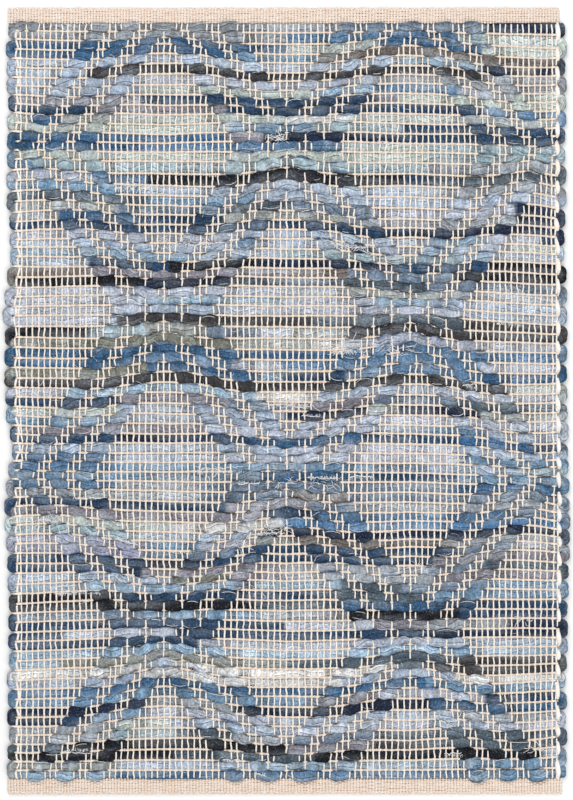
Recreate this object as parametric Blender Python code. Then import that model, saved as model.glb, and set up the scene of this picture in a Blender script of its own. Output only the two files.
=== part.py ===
"""Rag rug: folded denim strips woven on a cotton warp, with a woven cotton heading at each end.

The rug lies flat, face up, with its length along Y and its underside on Z = 0. The rag field is
one slab. Its face has a rib for each row of rag, which rides in waves around the woven lattice and
stands higher where the strips float over the warp, and its sides are scalloped where the strips
turn back. Each heading is a thinner slab with rounded outer corners.
"""
import math
from typing import Callable, NamedTuple

import bmesh
import bpy
from mathutils import Vector

# Outer sizes, in metres
RUG_WIDTH = 0.610            # over the turned strips at the two sides, on average
FIELD_LENGTH = 0.823         # the rag field, between the two headings
HEADING_LENGTH = 0.0155      # each heading, measured along the rug
SEAM_GAP = 0.00035           # clearance between the field and a heading

# The weave
RAG_ROWS = 80                # rows of rag, counted from the top heading
WARP_PITCH = 0.00657         # between neighbouring warps on the face
REPEAT_WARPS = 40            # warps across one diamond of the lattice
REPEAT_ROWS = 34             # rows along one diamond of the lattice
MERGE_ROW = 13.5             # rows down to the first crossing on the centre line
BAND_WARPS = 6.0             # half the breadth of a lattice band
BAND_FADE_WARPS = 2.0        # breadth over which a band's height fades away

# The waves: below a crossing a row steps up over it, and the step follows the bands outward
WAVE_ROW = 14.0              # rows down to where the waves first turn over
WAVE_RISE = 0.0120           # from a row's lowest part to its highest
WAVE_SKEW = 0.6              # under 1: the waves grow fast below a crossing and fade slowly
STEP_LEAD = 1.5              # warps from the middle of a crossing to the step, at WAVE_ROW
STEP_SOFTNESS = 4.5          # half the breadth of the step, in warps
LEFT_SHARE = 0.45            # strength of the waves at the left side
EASE_ROWS = 3.5              # rows over which the waves die out at a heading

# Heights above the floor
GROOVE_HEIGHT = 0.0046       # between two rows
PLAIN_CREST = 0.0068         # on a row that passes under the warps
FLOAT_CREST = 0.0086         # on a row that floats over the warps
HEADING_HEIGHT = 0.0034

# The sides
LOOP_DEPTH = 0.0034          # from the tip of a turned strip to the notch beside it
EDGE_ROUND = 0.0016          # how far the side's widest line stands out from its top line
EDGE_TUCK = 0.0010           # how far the underside is drawn in from the widest line
EDGE_SOFTEN = 0.82           # height of a side's top line, as a share of the face beside it
CORNER_CUT = 0.0040          # cut off each outer corner of a heading
HEM_ROUND = 0.0009           # the same rounding on a heading's thinner edges

# The grid of the slabs
FIELD_COLUMNS = 24
HEADING_COLUMNS = 18
HEADING_STRIPS = 2
END_COLUMN = 0.012           # breadth of the column at each side of a slab


class EdgeDrift(NamedTuple):
    """How far the two sides wander from a straight line at one place along the rug."""

    share_down: float        # share of the field's length, from the top heading
    left_out: float          # metres, outward
    right_out: float         # metres, outward


EDGE_DRIFT = (
    EdgeDrift(0.00, 0.0008, -0.0010),
    EdgeDrift(0.12, 0.0002, -0.0005),
    EdgeDrift(0.25, -0.0009, -0.0027),
    EdgeDrift(0.32, -0.0030, -0.0010),
    EdgeDrift(0.38, 0.0040, 0.0000),
    EdgeDrift(0.50, 0.0024, 0.0005),
    EdgeDrift(0.56, -0.0045, 0.0016),
    EdgeDrift(0.64, 0.0030, 0.0040),
    EdgeDrift(0.74, -0.0020, 0.0022),
    EdgeDrift(0.88, -0.0003, -0.0005),
    EdgeDrift(1.00, 0.0002, 0.0000),
)


class Beat(NamedTuple):
    """How far one row of rag lies from its even place, as the weaver's beat was uneven.

    Each column but the first is one place across the rug, in metres toward the top heading.
    """

    row: float
    left: float
    left_crossing: float
    middle: float
    right_crossing: float
    right: float


# Places across the rug that the table's five columns stand for, in metres
BEAT_PLACES = (-0.290, -0.1313, 0.0, 0.1313, 0.288)
BEAT = (
    Beat(0.0, 0.0, 0.0, 0.0, 0.0, 0.0),
    Beat(2.0, 0.0033, 0.0006, -0.0005, 0.0006, -0.0048),
    Beat(4.0, 0.0045, 0.0018, 0.0023, -0.0009, -0.0026),
    Beat(8.0, 0.0052, 0.0003, 0.0035, 0.0024, -0.0008),
    Beat(12.0, 0.0054, 0.0016, 0.0060, 0.0022, 0.0005),
    Beat(15.0, 0.0056, 0.0038, 0.0039, 0.0028, -0.0010),
    Beat(17.0, 0.0017, 0.0, -0.0030, -0.0002, -0.0064),
    Beat(20.0, -0.0021, 0.0017, -0.0053, -0.0027, -0.0121),
    Beat(22.0, -0.0022, 0.0020, -0.0043, -0.0020, -0.0120),
    Beat(25.0, 0.0016, 0.0013, -0.0027, -0.0012, -0.0076),
    Beat(28.0, 0.0, 0.0022, 0.0, -0.0016, -0.0092),
    Beat(30.5, 0.0, 0.0027, 0.0, 0.0013, -0.0105),
    Beat(34.0, -0.0025, -0.0046, -0.0030, -0.0049, -0.0072),
    Beat(38.0, -0.0039, -0.0065, -0.0061, -0.0091, -0.0083),
    Beat(41.0, -0.0045, -0.0072, -0.0067, -0.0093, -0.0078),
    Beat(43.5, -0.0038, -0.0065, -0.0058, -0.0065, -0.0130),
    Beat(46.5, -0.0033, -0.0057, -0.0038, -0.0066, -0.0098),
    Beat(50.0, -0.0024, -0.0041, -0.0086, -0.0055, -0.0111),
    Beat(53.0, -0.0032, -0.0045, -0.0113, -0.0021, -0.0103),
    Beat(56.0, -0.0034, -0.0030, -0.0076, 0.0009, -0.0045),
    Beat(60.0, -0.0048, 0.0012, -0.0024, 0.0009, -0.0015),
    Beat(64.5, -0.0047, 0.0014, -0.0042, -0.0006, -0.0002),
    Beat(68.0, -0.0035, 0.0017, -0.0008, -0.0003, 0.0046),
    Beat(70.5, -0.0037, 0.0010, 0.0018, 0.0001, 0.0083),
    Beat(73.0, -0.0027, 0.0021, 0.0011, -0.0021, 0.0071),
    Beat(76.0, -0.0009, 0.0008, 0.0008, -0.0014, 0.0084),
    Beat(78.0, -0.0007, -0.0007, -0.0007, -0.0007, 0.0047),
    Beat(80.0, 0.0, 0.0, 0.0, 0.0, 0.0),
)


class HeadingEnds(NamedTuple):
    """How far a heading stops short of the rug's mean sides, and which end it closes."""

    name: str
    end_sign: int            # +1 at the top of the rug, -1 at the bottom
    left_inset: float
    right_inset: float


HEADINGS = (
    HeadingEnds("heading_top", 1, 0.0027, 0.0087),
    HeadingEnds("heading_bottom", -1, 0.0022, 0.0060),
)

Place = Callable[[float, float, int], Vector]


def smooth_step(value: float) -> float:
    """Clamp a value to 0..1 and ease it in and out."""
    value = min(1.0, max(0.0, value))
    return value * value * (3.0 - 2.0 * value)


def edge_drift(share_down: float) -> tuple[float, float]:
    """Left and right drift at a share of the length, eased between the table's rows."""
    for upper, lower in zip(EDGE_DRIFT, EDGE_DRIFT[1:]):
        if share_down <= lower.share_down:
            break
    span = lower.share_down - upper.share_down
    blend = smooth_step((share_down - upper.share_down) / span)
    left = upper.left_out + (lower.left_out - upper.left_out) * blend
    right = upper.right_out + (lower.right_out - upper.right_out) * blend
    return left, right


def row_beat(row: float, x: float) -> float:
    """How far up the rug a row lies from its even place at x.

    The table's lifts are eased between its rows and run straight between its five places.
    """
    for upper, lower in zip(BEAT, BEAT[1:]):
        if row <= lower.row:
            break
    down = smooth_step((row - upper.row) / (lower.row - upper.row))
    lifts = [above + (below - above) * down for above, below in zip(upper[1:], lower[1:])]
    inside = min(BEAT_PLACES[-1], max(BEAT_PLACES[0], x))
    for part, right_place in enumerate(BEAT_PLACES[1:]):
        if inside <= right_place:
            break
    across = (inside - BEAT_PLACES[part]) / (right_place - BEAT_PLACES[part])
    return lifts[part] + (lifts[part + 1] - lifts[part]) * across


def row_wave(row: float, x: float) -> float:
    """How far up the rug a row rides at x, in metres. Rows count down from the top heading."""
    half_rows = REPEAT_ROWS / 2.0
    half_warps = REPEAT_WARPS / 2.0
    turns, since = divmod(row - WAVE_ROW, half_rows)
    strength = math.sin(math.pi * (since / half_rows) ** WAVE_SKEW)
    warp = x / WARP_PITCH
    from_middle = abs(math.remainder(warp, REPEAT_WARPS))
    distance = from_middle if turns % 2.0 == 0.0 else half_warps - from_middle
    step = STEP_LEAD + since
    inside = 0.5 - 0.5 * math.tanh((distance - step) / STEP_SOFTNESS)
    share = LEFT_SHARE + (1.0 - LEFT_SHARE) * smooth_step((warp + REPEAT_WARPS) / half_warps)
    ease = smooth_step(min(row, RAG_ROWS - row) / EASE_ROWS)
    return WAVE_RISE * ease * share * strength * (inside - step / half_warps)


def band_share(row: float, x: float) -> float:
    """How much of a lattice band's height the face has here, from 0 to 1."""
    warp = x / WARP_PITCH
    slant = (row - MERGE_ROW) * REPEAT_WARPS / REPEAT_ROWS
    nearest = min(abs(math.remainder(warp + lean * slant, REPEAT_WARPS)) for lean in (-1, 1))
    return smooth_step((BAND_WARPS + BAND_FADE_WARPS - nearest) / BAND_FADE_WARPS)


def column_place(step: float, count: int, half: float) -> float:
    """X of a grid line that is `step` of `count` from the left, with a narrow column at each side."""
    if step < 0.5:
        return -half
    if step > count - 0.5:
        return half
    inner_half = half - END_COLUMN
    return inner_half * (2.0 * (step - 1.0) / (count - 2.0) - 1.0)


def field_point(column: float, line: float, layer: int) -> Vector:
    """Place a point of the rag field.

    Args:
        column: Grid line from the left, 0 to FIELD_COLUMNS.
        line: Grid line from the top, 0 to twice RAG_ROWS; the odd ones are the rows' crests.
        layer: 0 on the face, 1 on the side's widest line, 2 on the underside's rim.
    """
    row = line / 2.0
    half = RUG_WIDTH / 2.0
    x = column_place(column, FIELD_COLUMNS, half)
    on_side = abs(x) > half - END_COLUMN / 2.0
    crest = PLAIN_CREST + (FLOAT_CREST - PLAIN_CREST) * band_share(row, x)
    height = crest if round(line) % 2 else GROOVE_HEIGHT
    y = FIELD_LENGTH / 2.0 - row * FIELD_LENGTH / RAG_ROWS + row_beat(row, x) + row_wave(row, x)
    if on_side:
        left_out, right_out = edge_drift(row / RAG_ROWS)
        turn = math.pi * row / 2.0
        if x < 0.0:
            x -= left_out - LOOP_DEPTH * (1.0 - abs(math.sin(turn)))
        else:
            x += right_out - LOOP_DEPTH * (1.0 - abs(math.cos(turn)))
        height *= EDGE_SOFTEN
        draw_in = (EDGE_ROUND, 0.0, EDGE_TUCK)[layer]
        x -= math.copysign(draw_in, x)
    return Vector((x, y, height * (1.0, 0.5, 0.0)[layer]))


def heading_place(ends: HeadingEnds) -> Place:
    """Make the function that places the points of one heading's grid."""
    left = -RUG_WIDTH / 2.0 + ends.left_inset
    right = RUG_WIDTH / 2.0 - ends.right_inset
    half = (right - left) / 2.0
    middle = (right + left) / 2.0

    def place(column: float, line: float, layer: int) -> Vector:
        x = column_place(column, HEADING_COLUMNS, half)
        outward = SEAM_GAP + (HEADING_LENGTH - SEAM_GAP) * line / HEADING_STRIPS
        draw_in = (HEM_ROUND, 0.0, HEM_ROUND / 2.0)[layer]
        on_side = abs(x) > half - END_COLUMN / 2.0
        on_hem = line > HEADING_STRIPS - 0.5
        if on_hem:
            outward -= draw_in + (CORNER_CUT if on_side else 0.0)
        if on_side:
            x -= math.copysign(draw_in, x)
        y = ends.end_sign * (FIELD_LENGTH / 2.0 + outward)
        height = HEADING_HEIGHT * (EDGE_SOFTEN if on_side or on_hem else 1.0)
        return Vector((middle + x, y, height * (1.0, 0.5, 0.0)[layer]))

    return place


def make_slab(name: str, columns: int, lines: int, place: Place) -> bpy.types.Object:
    """Build a closed slab from a grid.

    The grid's rim is extruded twice, to the side's widest line and to the underside, which one
    flat face closes. Every point is then moved from its grid step to its real place.

    Args:
        name: Name of the object and of its mesh.
        columns: Steps of the grid across the rug.
        lines: Steps of the grid along the rug.
        place: Function of the column, the line and the layer that gives a point's real place.

    Returns:
        The new object, not yet in a collection.
    """
    bm = bmesh.new()
    bmesh.ops.create_grid(bm, x_segments=columns, y_segments=lines, size=0.5)
    for vert in bm.verts:
        vert.co = Vector(((vert.co.x + 0.5) * columns, (vert.co.y + 0.5) * lines, 0.0))
    rim = [edge for edge in bm.edges if edge.is_boundary]
    for layer in (1, 2):
        extruded = bmesh.ops.extrude_edge_only(bm, edges=rim)["geom"]
        rim = [item for item in extruded if isinstance(item, bmesh.types.BMEdge)]
        for vert in {vert for edge in rim for vert in edge.verts}:
            vert.co.z = layer
    bmesh.ops.contextual_create(bm, geom=rim)
    for vert in bm.verts:
        vert.co = place(vert.co.x, vert.co.y, round(vert.co.z))
    bmesh.ops.recalc_face_normals(bm, faces=bm.faces)
    if bm.calc_volume(signed=True) < 0.0:
        bmesh.ops.reverse_faces(bm, faces=bm.faces)
    mesh = bpy.data.meshes.new(name)
    bm.to_mesh(mesh)
    bm.free()
    mesh.shade_smooth()
    mesh.set_sharp_from_angle(angle=math.radians(50.0))
    return bpy.data.objects.new(name, mesh)


def make_finish(name: str, color: tuple[float, float, float], roughness: float) -> bpy.types.Material:
    """Make a plain cloth material with a linear base colour."""
    material = bpy.data.materials.new(name)
    material.use_nodes = True
    shader = material.node_tree.nodes["Principled BSDF"]
    shader.inputs["Base Color"].default_value = (*color, 1.0)
    shader.inputs["Roughness"].default_value = roughness
    shader.inputs["Metallic"].default_value = 0.0
    return material


def build_rug() -> None:
    """Clear the scene and build the rug's three pieces in their own collection."""
    for old in list(bpy.data.objects):
        bpy.data.objects.remove(old, do_unlink=True)
    collection = bpy.data.collections.new("rag_rug")
    bpy.context.scene.collection.children.link(collection)

    field = make_slab("rag_field", FIELD_COLUMNS, 2 * RAG_ROWS, field_point)
    field.data.materials.append(make_finish("woven_denim_rag", (0.20, 0.29, 0.40), 0.9))
    collection.objects.link(field)

    for ends in HEADINGS:
        heading = make_slab(ends.name, HEADING_COLUMNS, HEADING_STRIPS, heading_place(ends))
        heading.data.materials.append(make_finish(ends.name + "_cotton", (0.83, 0.70, 0.54), 0.92))
        collection.objects.link(heading)


if __name__ == "__main__":
    build_rug()
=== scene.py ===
"""Visual model of a rag rug: folded denim strips woven on a cream cotton warp.

The rug lies flat, face up, and every strand of it is there. Each row of rag runs under the face
warps and over the back warps, but floats over the face warps where the draft makes the lattice.
A thin cotton weft lies between every two rows, the strips turn back at the two sides, and a band
of close plain weave in cotton closes each end. Torn threads stray over the face.
"""

import logging
import math
from dataclasses import dataclass, field
from enum import Enum
from typing import Iterator, NamedTuple

import bpy
import numpy as np
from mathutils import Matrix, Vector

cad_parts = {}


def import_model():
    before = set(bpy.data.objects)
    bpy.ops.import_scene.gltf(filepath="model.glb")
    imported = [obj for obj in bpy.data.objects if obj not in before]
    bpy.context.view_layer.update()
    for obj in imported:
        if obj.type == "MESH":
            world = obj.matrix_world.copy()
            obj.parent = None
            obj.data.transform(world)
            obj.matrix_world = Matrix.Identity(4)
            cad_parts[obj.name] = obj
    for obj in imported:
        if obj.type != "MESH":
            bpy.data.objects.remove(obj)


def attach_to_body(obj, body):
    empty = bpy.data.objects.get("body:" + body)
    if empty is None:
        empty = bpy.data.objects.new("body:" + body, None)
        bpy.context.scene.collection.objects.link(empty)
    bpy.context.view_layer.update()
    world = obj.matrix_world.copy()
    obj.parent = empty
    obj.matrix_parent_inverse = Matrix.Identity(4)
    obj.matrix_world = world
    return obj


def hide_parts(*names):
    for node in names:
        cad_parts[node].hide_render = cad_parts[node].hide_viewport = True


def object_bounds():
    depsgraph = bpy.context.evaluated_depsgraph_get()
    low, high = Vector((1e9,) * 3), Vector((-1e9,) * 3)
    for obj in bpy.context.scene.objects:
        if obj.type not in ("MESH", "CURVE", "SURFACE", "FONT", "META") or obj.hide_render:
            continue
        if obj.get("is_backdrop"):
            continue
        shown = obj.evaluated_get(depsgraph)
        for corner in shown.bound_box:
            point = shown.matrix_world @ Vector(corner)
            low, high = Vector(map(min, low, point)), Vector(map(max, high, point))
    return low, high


LOG = logging.getLogger("rag_rug")
BODY = "root"
MM = 0.001
LUMINANCE = np.array([0.2126, 0.7152, 0.0722])       # of linear red, green and blue

# Sockets of Blender's Mix node when it mixes colours
MIX_A = 6
MIX_B = 7
MIX_RESULT = 2


class Slot(Enum):
    """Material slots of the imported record."""

    RAG = "denim_rag"
    COTTON = "cotton_heading"


class Shade(Enum):
    """Shades of the sorted denim strips, as sRGB hex."""

    COAL = "1D1F26"
    CHARCOAL = "403F42"
    INK = "212D44"
    NAVY = "2B4562"
    DENIM = "3A6084"
    COBALT = "38638D"
    BLUE = "5A7C9E"
    BRIGHT = "4F7BA6"
    STEEL = "7090AC"
    SKY = "98B2C7"
    AZURE = "9DBCD6"
    PALE = "A7B6CA"
    LAVENDER = "B5BCCC"
    LILAC = "A2A5BF"
    SLATE = "6E7F93"
    ASH = "9BA1A9"
    MAUVE = "888590"
    TAUPE = "736B66"
    OLIVE = "7F8177"
    MOSS = "A3A8A5"
    MINT = "BAC4BE"
    TEAL = "9CB2BA"
    DUSK = "515F6B"
    BONE = "DDDDDC"


STRIP_PARTS = 20.0                       # parts of the rug's width in which the strips are measured
# The strips of each row of rag, from the left side to the right, with their lengths in those
# parts. The rows run from the top heading to the bottom one.
STRIP_ORDER = (
    "ash 12, slate 5, ink 3",
    "ash 10, blue 6, teal 1, mint 3",
    "denim 10, mint 3, denim 4, mint 3",
    "denim 8, steel 3, taupe 9",
    "pale 14, sky 3, ink 1, taupe 1, ink 1",
    "pale 3, charcoal 14, ash 3",
    "pale 5, lavender 8, ash 5, mauve 2",
    "pale 5, mint 6, sky 2, blue 3, lavender 2, mint 2",
    "mauve 5, navy 8, mauve 1, mint 6",
    "navy 3, mauve 5, navy 9, blue 3",
    "mint 1, denim 1, moss 3, mint 5, bone 2, mint 3, moss 5",
    "mint 8, steel 3, teal 3, navy 6",
    "denim 8, mauve 1, ink 5, navy 6",
    "denim 5, blue 7, mint 3, teal 5",
    "mint 15, teal 5",
    "steel 1, teal 14, ash 5",
    "lavender 3, blue 2, coal 9, navy 1, dusk 5",
    "steel 5, pale 10, ash 5",
    "dusk 5, steel 4, pale 11",
    "moss 4, slate 4, dusk 2, slate 3, lavender 5, ink 2",
    "ash 2, denim 3, navy 3, moss 4, ash 6, ink 2",
    "navy 14, ink 6",
    "lavender 8, pale 7, sky 2, lavender 2, navy 1",
    "pale 8, steel 1, pale 3, navy 1, lavender 2, steel 1, lavender 2, mint 2",
    "sky 7, pale 3, teal 6, sky 1, pale 3",
    "pale 3, navy 3, coal 3, ink 5, navy 3, coal 3",
    "taupe 3, mauve 7, taupe 2, slate 4, coal 4",
    "coal 5, ink 3, dusk 2, slate 2, dusk 3, slate 5",
    "lavender 10, ash 2, moss 4, ash 4",
    "lavender 5, sky 5, lavender 3, sky 2, pale 5",
    "lavender 5, pale 3, lavender 8, pale 4",
    "lavender 4, charcoal 7, dusk 5, charcoal 4",
    "coal 3, teal 2, moss 2, slate 2, lavender 1, moss 2, charcoal 8",
    "olive 8, moss 3, bone 1, lavender 8",
    "denim 12, blue 8",
    "denim 5, blue 3, lavender 2, blue 7, lavender 3",
    "olive 5, denim 4, steel 1, navy 2, blue 5, denim 3",
    "charcoal 18, mint 2",
    "lavender 2, sky 7, bone 2, pale 4, lavender 5",
    "navy 4, mauve 4, slate 2, mauve 3, slate 3, dusk 4",
    "mint 4, pale 6, ink 3, moss 1, ink 3, moss 3",
    "steel 4, pale 7, lavender 9",
    "mauve 7, lavender 6, pale 2, steel 2, pale 3",
    "navy 4, ink 2, navy 3, denim 4, navy 3, cobalt 3, navy 1",
    "pale 10, lavender 6, pale 4",
    "blue 4, pale 3, lavender 9, steel 4",
    "blue 4, steel 9, slate 2, pale 3, teal 2",
    "steel 5, slate 4, denim 4, navy 3, steel 4",
    "blue 4, ash 3, slate 9, denim 4",
    "ash 7, slate 3, taupe 2, slate 8",
    "navy 8, mauve 3, slate 1, ash 8",
    "mauve 9, navy 2, blue 7, slate 2",
    "mint 6, bone 4, bright 10",
    "teal 5, pale 4, ink 11",
    "lilac 5, steel 2, lavender 2, moss 1, taupe 6, ash 4",
    "lilac 5, slate 3, navy 8, slate 2, ash 2",
    "navy 5, ink 2, navy 8, mauve 5",
    "navy 5, mauve 5, ash 5, slate 2, dusk 3",
    "pale 6, olive 2, mauve 2, ash 5, mauve 5",
    "sky 8, slate 1, sky 3, dusk 2, slate 3, steel 3",
    "coal 4, navy 7, dusk 4, steel 5",
    "coal 9, dusk 3, denim 3, navy 5",
    "slate 5, steel 4, ash 3, coal 4, navy 4",
    "navy 10, lavender 3, mauve 2, ash 3, ink 2",
    "navy 2, lavender 4, navy 9, ink 5",
    "navy 7, lavender 8, pale 5",
    "azure 20",
    "sky 2, olive 8, dusk 6, charcoal 4",
    "bone 5, pale 1, bone 8, dusk 1, charcoal 5",
    "pale 5, bone 7, pale 4, bone 4",
    "blue 4, denim 11, steel 5",
    "steel 11, mauve 2, lavender 4, navy 3",
    "ink 5, ash 3, ink 7, denim 5",
    "ink 2, navy 1, steel 2, lavender 5, pale 6, ash 4",
    "ash 4, mint 2, pale 4, lavender 5, pale 2, lavender 3",
    "ash 4, teal 2, dusk 2, ash 2, slate 3, dusk 7",
    "dusk 2, coal 8, mauve 3, charcoal 2, dusk 5",
    "coal 6, dusk 5, coal 8, pale 1",
    "moss 4, pale 5, sky 7, steel 4",
    "sky 4, denim 3, blue 9, steel 4",
)


def to_linear(hex_code: str) -> tuple[float, float, float, float]:
    """Turn an sRGB hex colour into a linear one.

    Args:
        hex_code: Six hex digits.

    Returns:
        Linear red, green and blue with an alpha of 1.
    """
    parts = [int(hex_code[place:place + 2], 16) / 255.0 for place in (0, 2, 4)]
    linear = [part / 12.92 if part <= 0.04045 else ((part + 0.055) / 1.055) ** 2.4 for part in parts]
    return (*linear, 1.0)


def add_node(tree: bpy.types.NodeTree, kind: str, links: dict | None = None, **settings) -> bpy.types.Node:
    """Add a node with its settings and its links.

    Args:
        tree: Node tree that gets the node.
        kind: Blender's name of the node type.
        links: Input's name or number, to a value, or to the output or the node that feeds it.
        settings: Properties of the node.

    Returns:
        The new node.
    """
    node = tree.nodes.new(kind)
    for name, value in settings.items():
        setattr(node, name, value)
    for name, value in (links or {}).items():
        if isinstance(value, bpy.types.Node):
            value = value.outputs[0]
        if isinstance(value, bpy.types.NodeSocket):
            tree.links.new(value, node.inputs[name])
        else:
            node.inputs[name].default_value = value
    return node


def ease(value: np.ndarray) -> np.ndarray:
    """Clamp values to 0..1 and ease them in and out."""
    value = np.clip(value, 0.0, 1.0)
    return value * value * (3.0 - 2.0 * value)


def wander(along: np.ndarray, wavelength: float, seed: int) -> np.ndarray:
    """Smooth noise along a line.

    Args:
        along: Distances along the line.
        wavelength: Distance between the noise's free values.
        seed: Seed of this line's noise.

    Returns:
        A value from -1 to 1 for each distance.
    """
    place = (along - along.min()) / wavelength
    knots = np.random.default_rng(seed).uniform(-1.0, 1.0, int(place.max()) + 2)
    low = np.floor(place).astype(int)
    blend = ease(place - low)
    return knots[low] * (1.0 - blend) + knots[low + 1] * blend


class SideDrift(NamedTuple):
    """How far the two sides wander from a straight line at one place along the rug."""

    share_down: float        # share of the field's length, from the top heading
    left_out: float          # metres, outward
    right_out: float         # metres, outward


class Beat(NamedTuple):
    """How far one row of rag lies from its even place, as the weaver's beat was uneven.

    Each column but the first is one place across the rug, in metres toward the top heading.
    """

    row: float
    left: float
    left_crossing: float
    middle: float
    right_crossing: float
    right: float


@dataclass(frozen=True)
class Loom:
    """The sett, the draft and the lie of the weave, which every strand follows."""

    rows: int = 80                       # rows of rag
    field_length: float = 0.823          # between the headings
    half_width: float = 0.305            # to the tips of the turned strips, on average
    warp_pitch: float = 0.006565         # between two face warps
    warps_each_side: int = 44            # face warps on each side of the middle one
    crossing_row: int = 13               # row of the first crossing on the centre line
    half_repeat_rows: int = 17           # rows from one crossing to the next half-dropped one
    half_repeat_warps: int = 20          # warps from one crossing to the next
    # The waves: below a crossing a row steps up over it, and the step follows the bands outward
    wave_row: float = 14.0               # rows down to where the waves first turn over
    wave_rise: float = 0.0120            # from a row's lowest part to its highest
    wave_skew: float = 0.6               # under 1: the waves grow fast and fade slowly
    step_lead: float = 1.5               # warps from the middle of a crossing to the step
    step_softness: float = 4.5           # half the breadth of the step, in warps
    left_share: float = 0.45             # strength of the waves at the left side
    ease_rows: float = 3.5               # rows over which the waves die out at a heading
    stray: float = 0.0006                # smaller unevenness of the beat
    # Radians of that unevenness's two waves, for each row down and each metre across
    stray_waves: tuple[tuple[float, float], ...] = ((1.7, 17.0), (0.9, -29.0))
    search_rounds: int = 6               # to find the row at a place
    end_gap: float = 0.01                # rows kept clear of a heading in that search
    # Places across the rug that the five columns of the beat stand for
    beat_places: tuple[float, ...] = (-0.290, -0.1313, 0.0, 0.1313, 0.288)
    beats: tuple[Beat, ...] = (
        Beat(0.0, 0.0, 0.0, 0.0, 0.0, 0.0),
        Beat(2.0, 0.0033, 0.0006, -0.0005, 0.0006, -0.0048),
        Beat(4.0, 0.0045, 0.0018, 0.0023, -0.0009, -0.0026),
        Beat(8.0, 0.0052, 0.0003, 0.0035, 0.0024, -0.0008),
        Beat(12.0, 0.0054, 0.0016, 0.0060, 0.0022, 0.0005),
        Beat(15.0, 0.0056, 0.0038, 0.0039, 0.0028, -0.0010),
        Beat(17.0, 0.0017, 0.0, -0.0030, -0.0002, -0.0064),
        Beat(20.0, -0.0021, 0.0017, -0.0053, -0.0027, -0.0121),
        Beat(22.0, -0.0022, 0.0020, -0.0043, -0.0020, -0.0120),
        Beat(25.0, 0.0016, 0.0013, -0.0027, -0.0012, -0.0076),
        Beat(28.0, 0.0, 0.0022, 0.0, -0.0016, -0.0092),
        Beat(30.5, 0.0, 0.0027, 0.0, 0.0013, -0.0105),
        Beat(34.0, -0.0025, -0.0046, -0.0030, -0.0049, -0.0072),
        Beat(38.0, -0.0039, -0.0065, -0.0061, -0.0091, -0.0083),
        Beat(41.0, -0.0045, -0.0072, -0.0067, -0.0093, -0.0078),
        Beat(43.5, -0.0038, -0.0065, -0.0058, -0.0065, -0.0130),
        Beat(46.5, -0.0033, -0.0057, -0.0038, -0.0066, -0.0098),
        Beat(50.0, -0.0024, -0.0041, -0.0086, -0.0055, -0.0111),
        Beat(53.0, -0.0032, -0.0045, -0.0113, -0.0021, -0.0103),
        Beat(56.0, -0.0034, -0.0030, -0.0076, 0.0009, -0.0045),
        Beat(60.0, -0.0048, 0.0012, -0.0024, 0.0009, -0.0015),
        Beat(64.5, -0.0047, 0.0014, -0.0042, -0.0006, -0.0002),
        Beat(68.0, -0.0035, 0.0017, -0.0008, -0.0003, 0.0046),
        Beat(70.5, -0.0037, 0.0010, 0.0018, 0.0001, 0.0083),
        Beat(73.0, -0.0027, 0.0021, 0.0011, -0.0021, 0.0071),
        Beat(76.0, -0.0009, 0.0008, 0.0008, -0.0014, 0.0084),
        Beat(78.0, -0.0007, -0.0007, -0.0007, -0.0007, 0.0047),
        Beat(80.0, 0.0, 0.0, 0.0, 0.0, 0.0),
    )
    side_drift: tuple[SideDrift, ...] = (
        SideDrift(0.00, 0.0008, -0.0010),
        SideDrift(0.12, 0.0002, -0.0005),
        SideDrift(0.25, -0.0009, -0.0027),
        SideDrift(0.32, -0.0030, -0.0010),
        SideDrift(0.38, 0.0040, 0.0000),
        SideDrift(0.50, 0.0024, 0.0005),
        SideDrift(0.56, -0.0045, 0.0016),
        SideDrift(0.64, 0.0030, 0.0040),
        SideDrift(0.74, -0.0020, 0.0022),
        SideDrift(0.88, -0.0003, -0.0005),
        SideDrift(1.00, 0.0002, 0.0000),
    )
    # Warps that a strip floats over near a crossing, by rows from the crossing. The numbers
    # count warps from the crossing, to both sides.
    crossing_draft: tuple[tuple[int, ...], ...] = (
        (0, 1, 5, 6, 7),
        (1, 2, 4, 5, 7, 8),
        (2, 3, 4, 8, 9),
        (1, 2, 4, 5, 9, 10),
    )
    # The same away from the crossings, counted from the lattice's slanting line
    slant_draft: tuple[int, ...] = (-4, -3, 1, 2, 6, 7)
    # Warps that the tail of the first strip is tucked over, in the first row
    tail_draft: tuple[int, ...] = (-44, -42)
    # Rows whose right half was threaded one warp further right: the first, and the one after
    slipped_rows: tuple[int, int] = (34, 43)

    @property
    def row_pitch(self) -> float:
        """Mean distance between two rows of rag."""
        return self.field_length / self.rows

    @property
    def warps(self) -> range:
        """Numbers of the face warps, from left to right."""
        return range(-self.warps_each_side, self.warps_each_side + 1)

    def settle(self, rows_down: np.ndarray | float) -> np.ndarray:
        """Strength of the beat's unevenness: 0 at a heading, and 1 a few rows away."""
        return ease(np.asarray(np.minimum(rows_down, self.rows - rows_down) / self.ease_rows))

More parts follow.
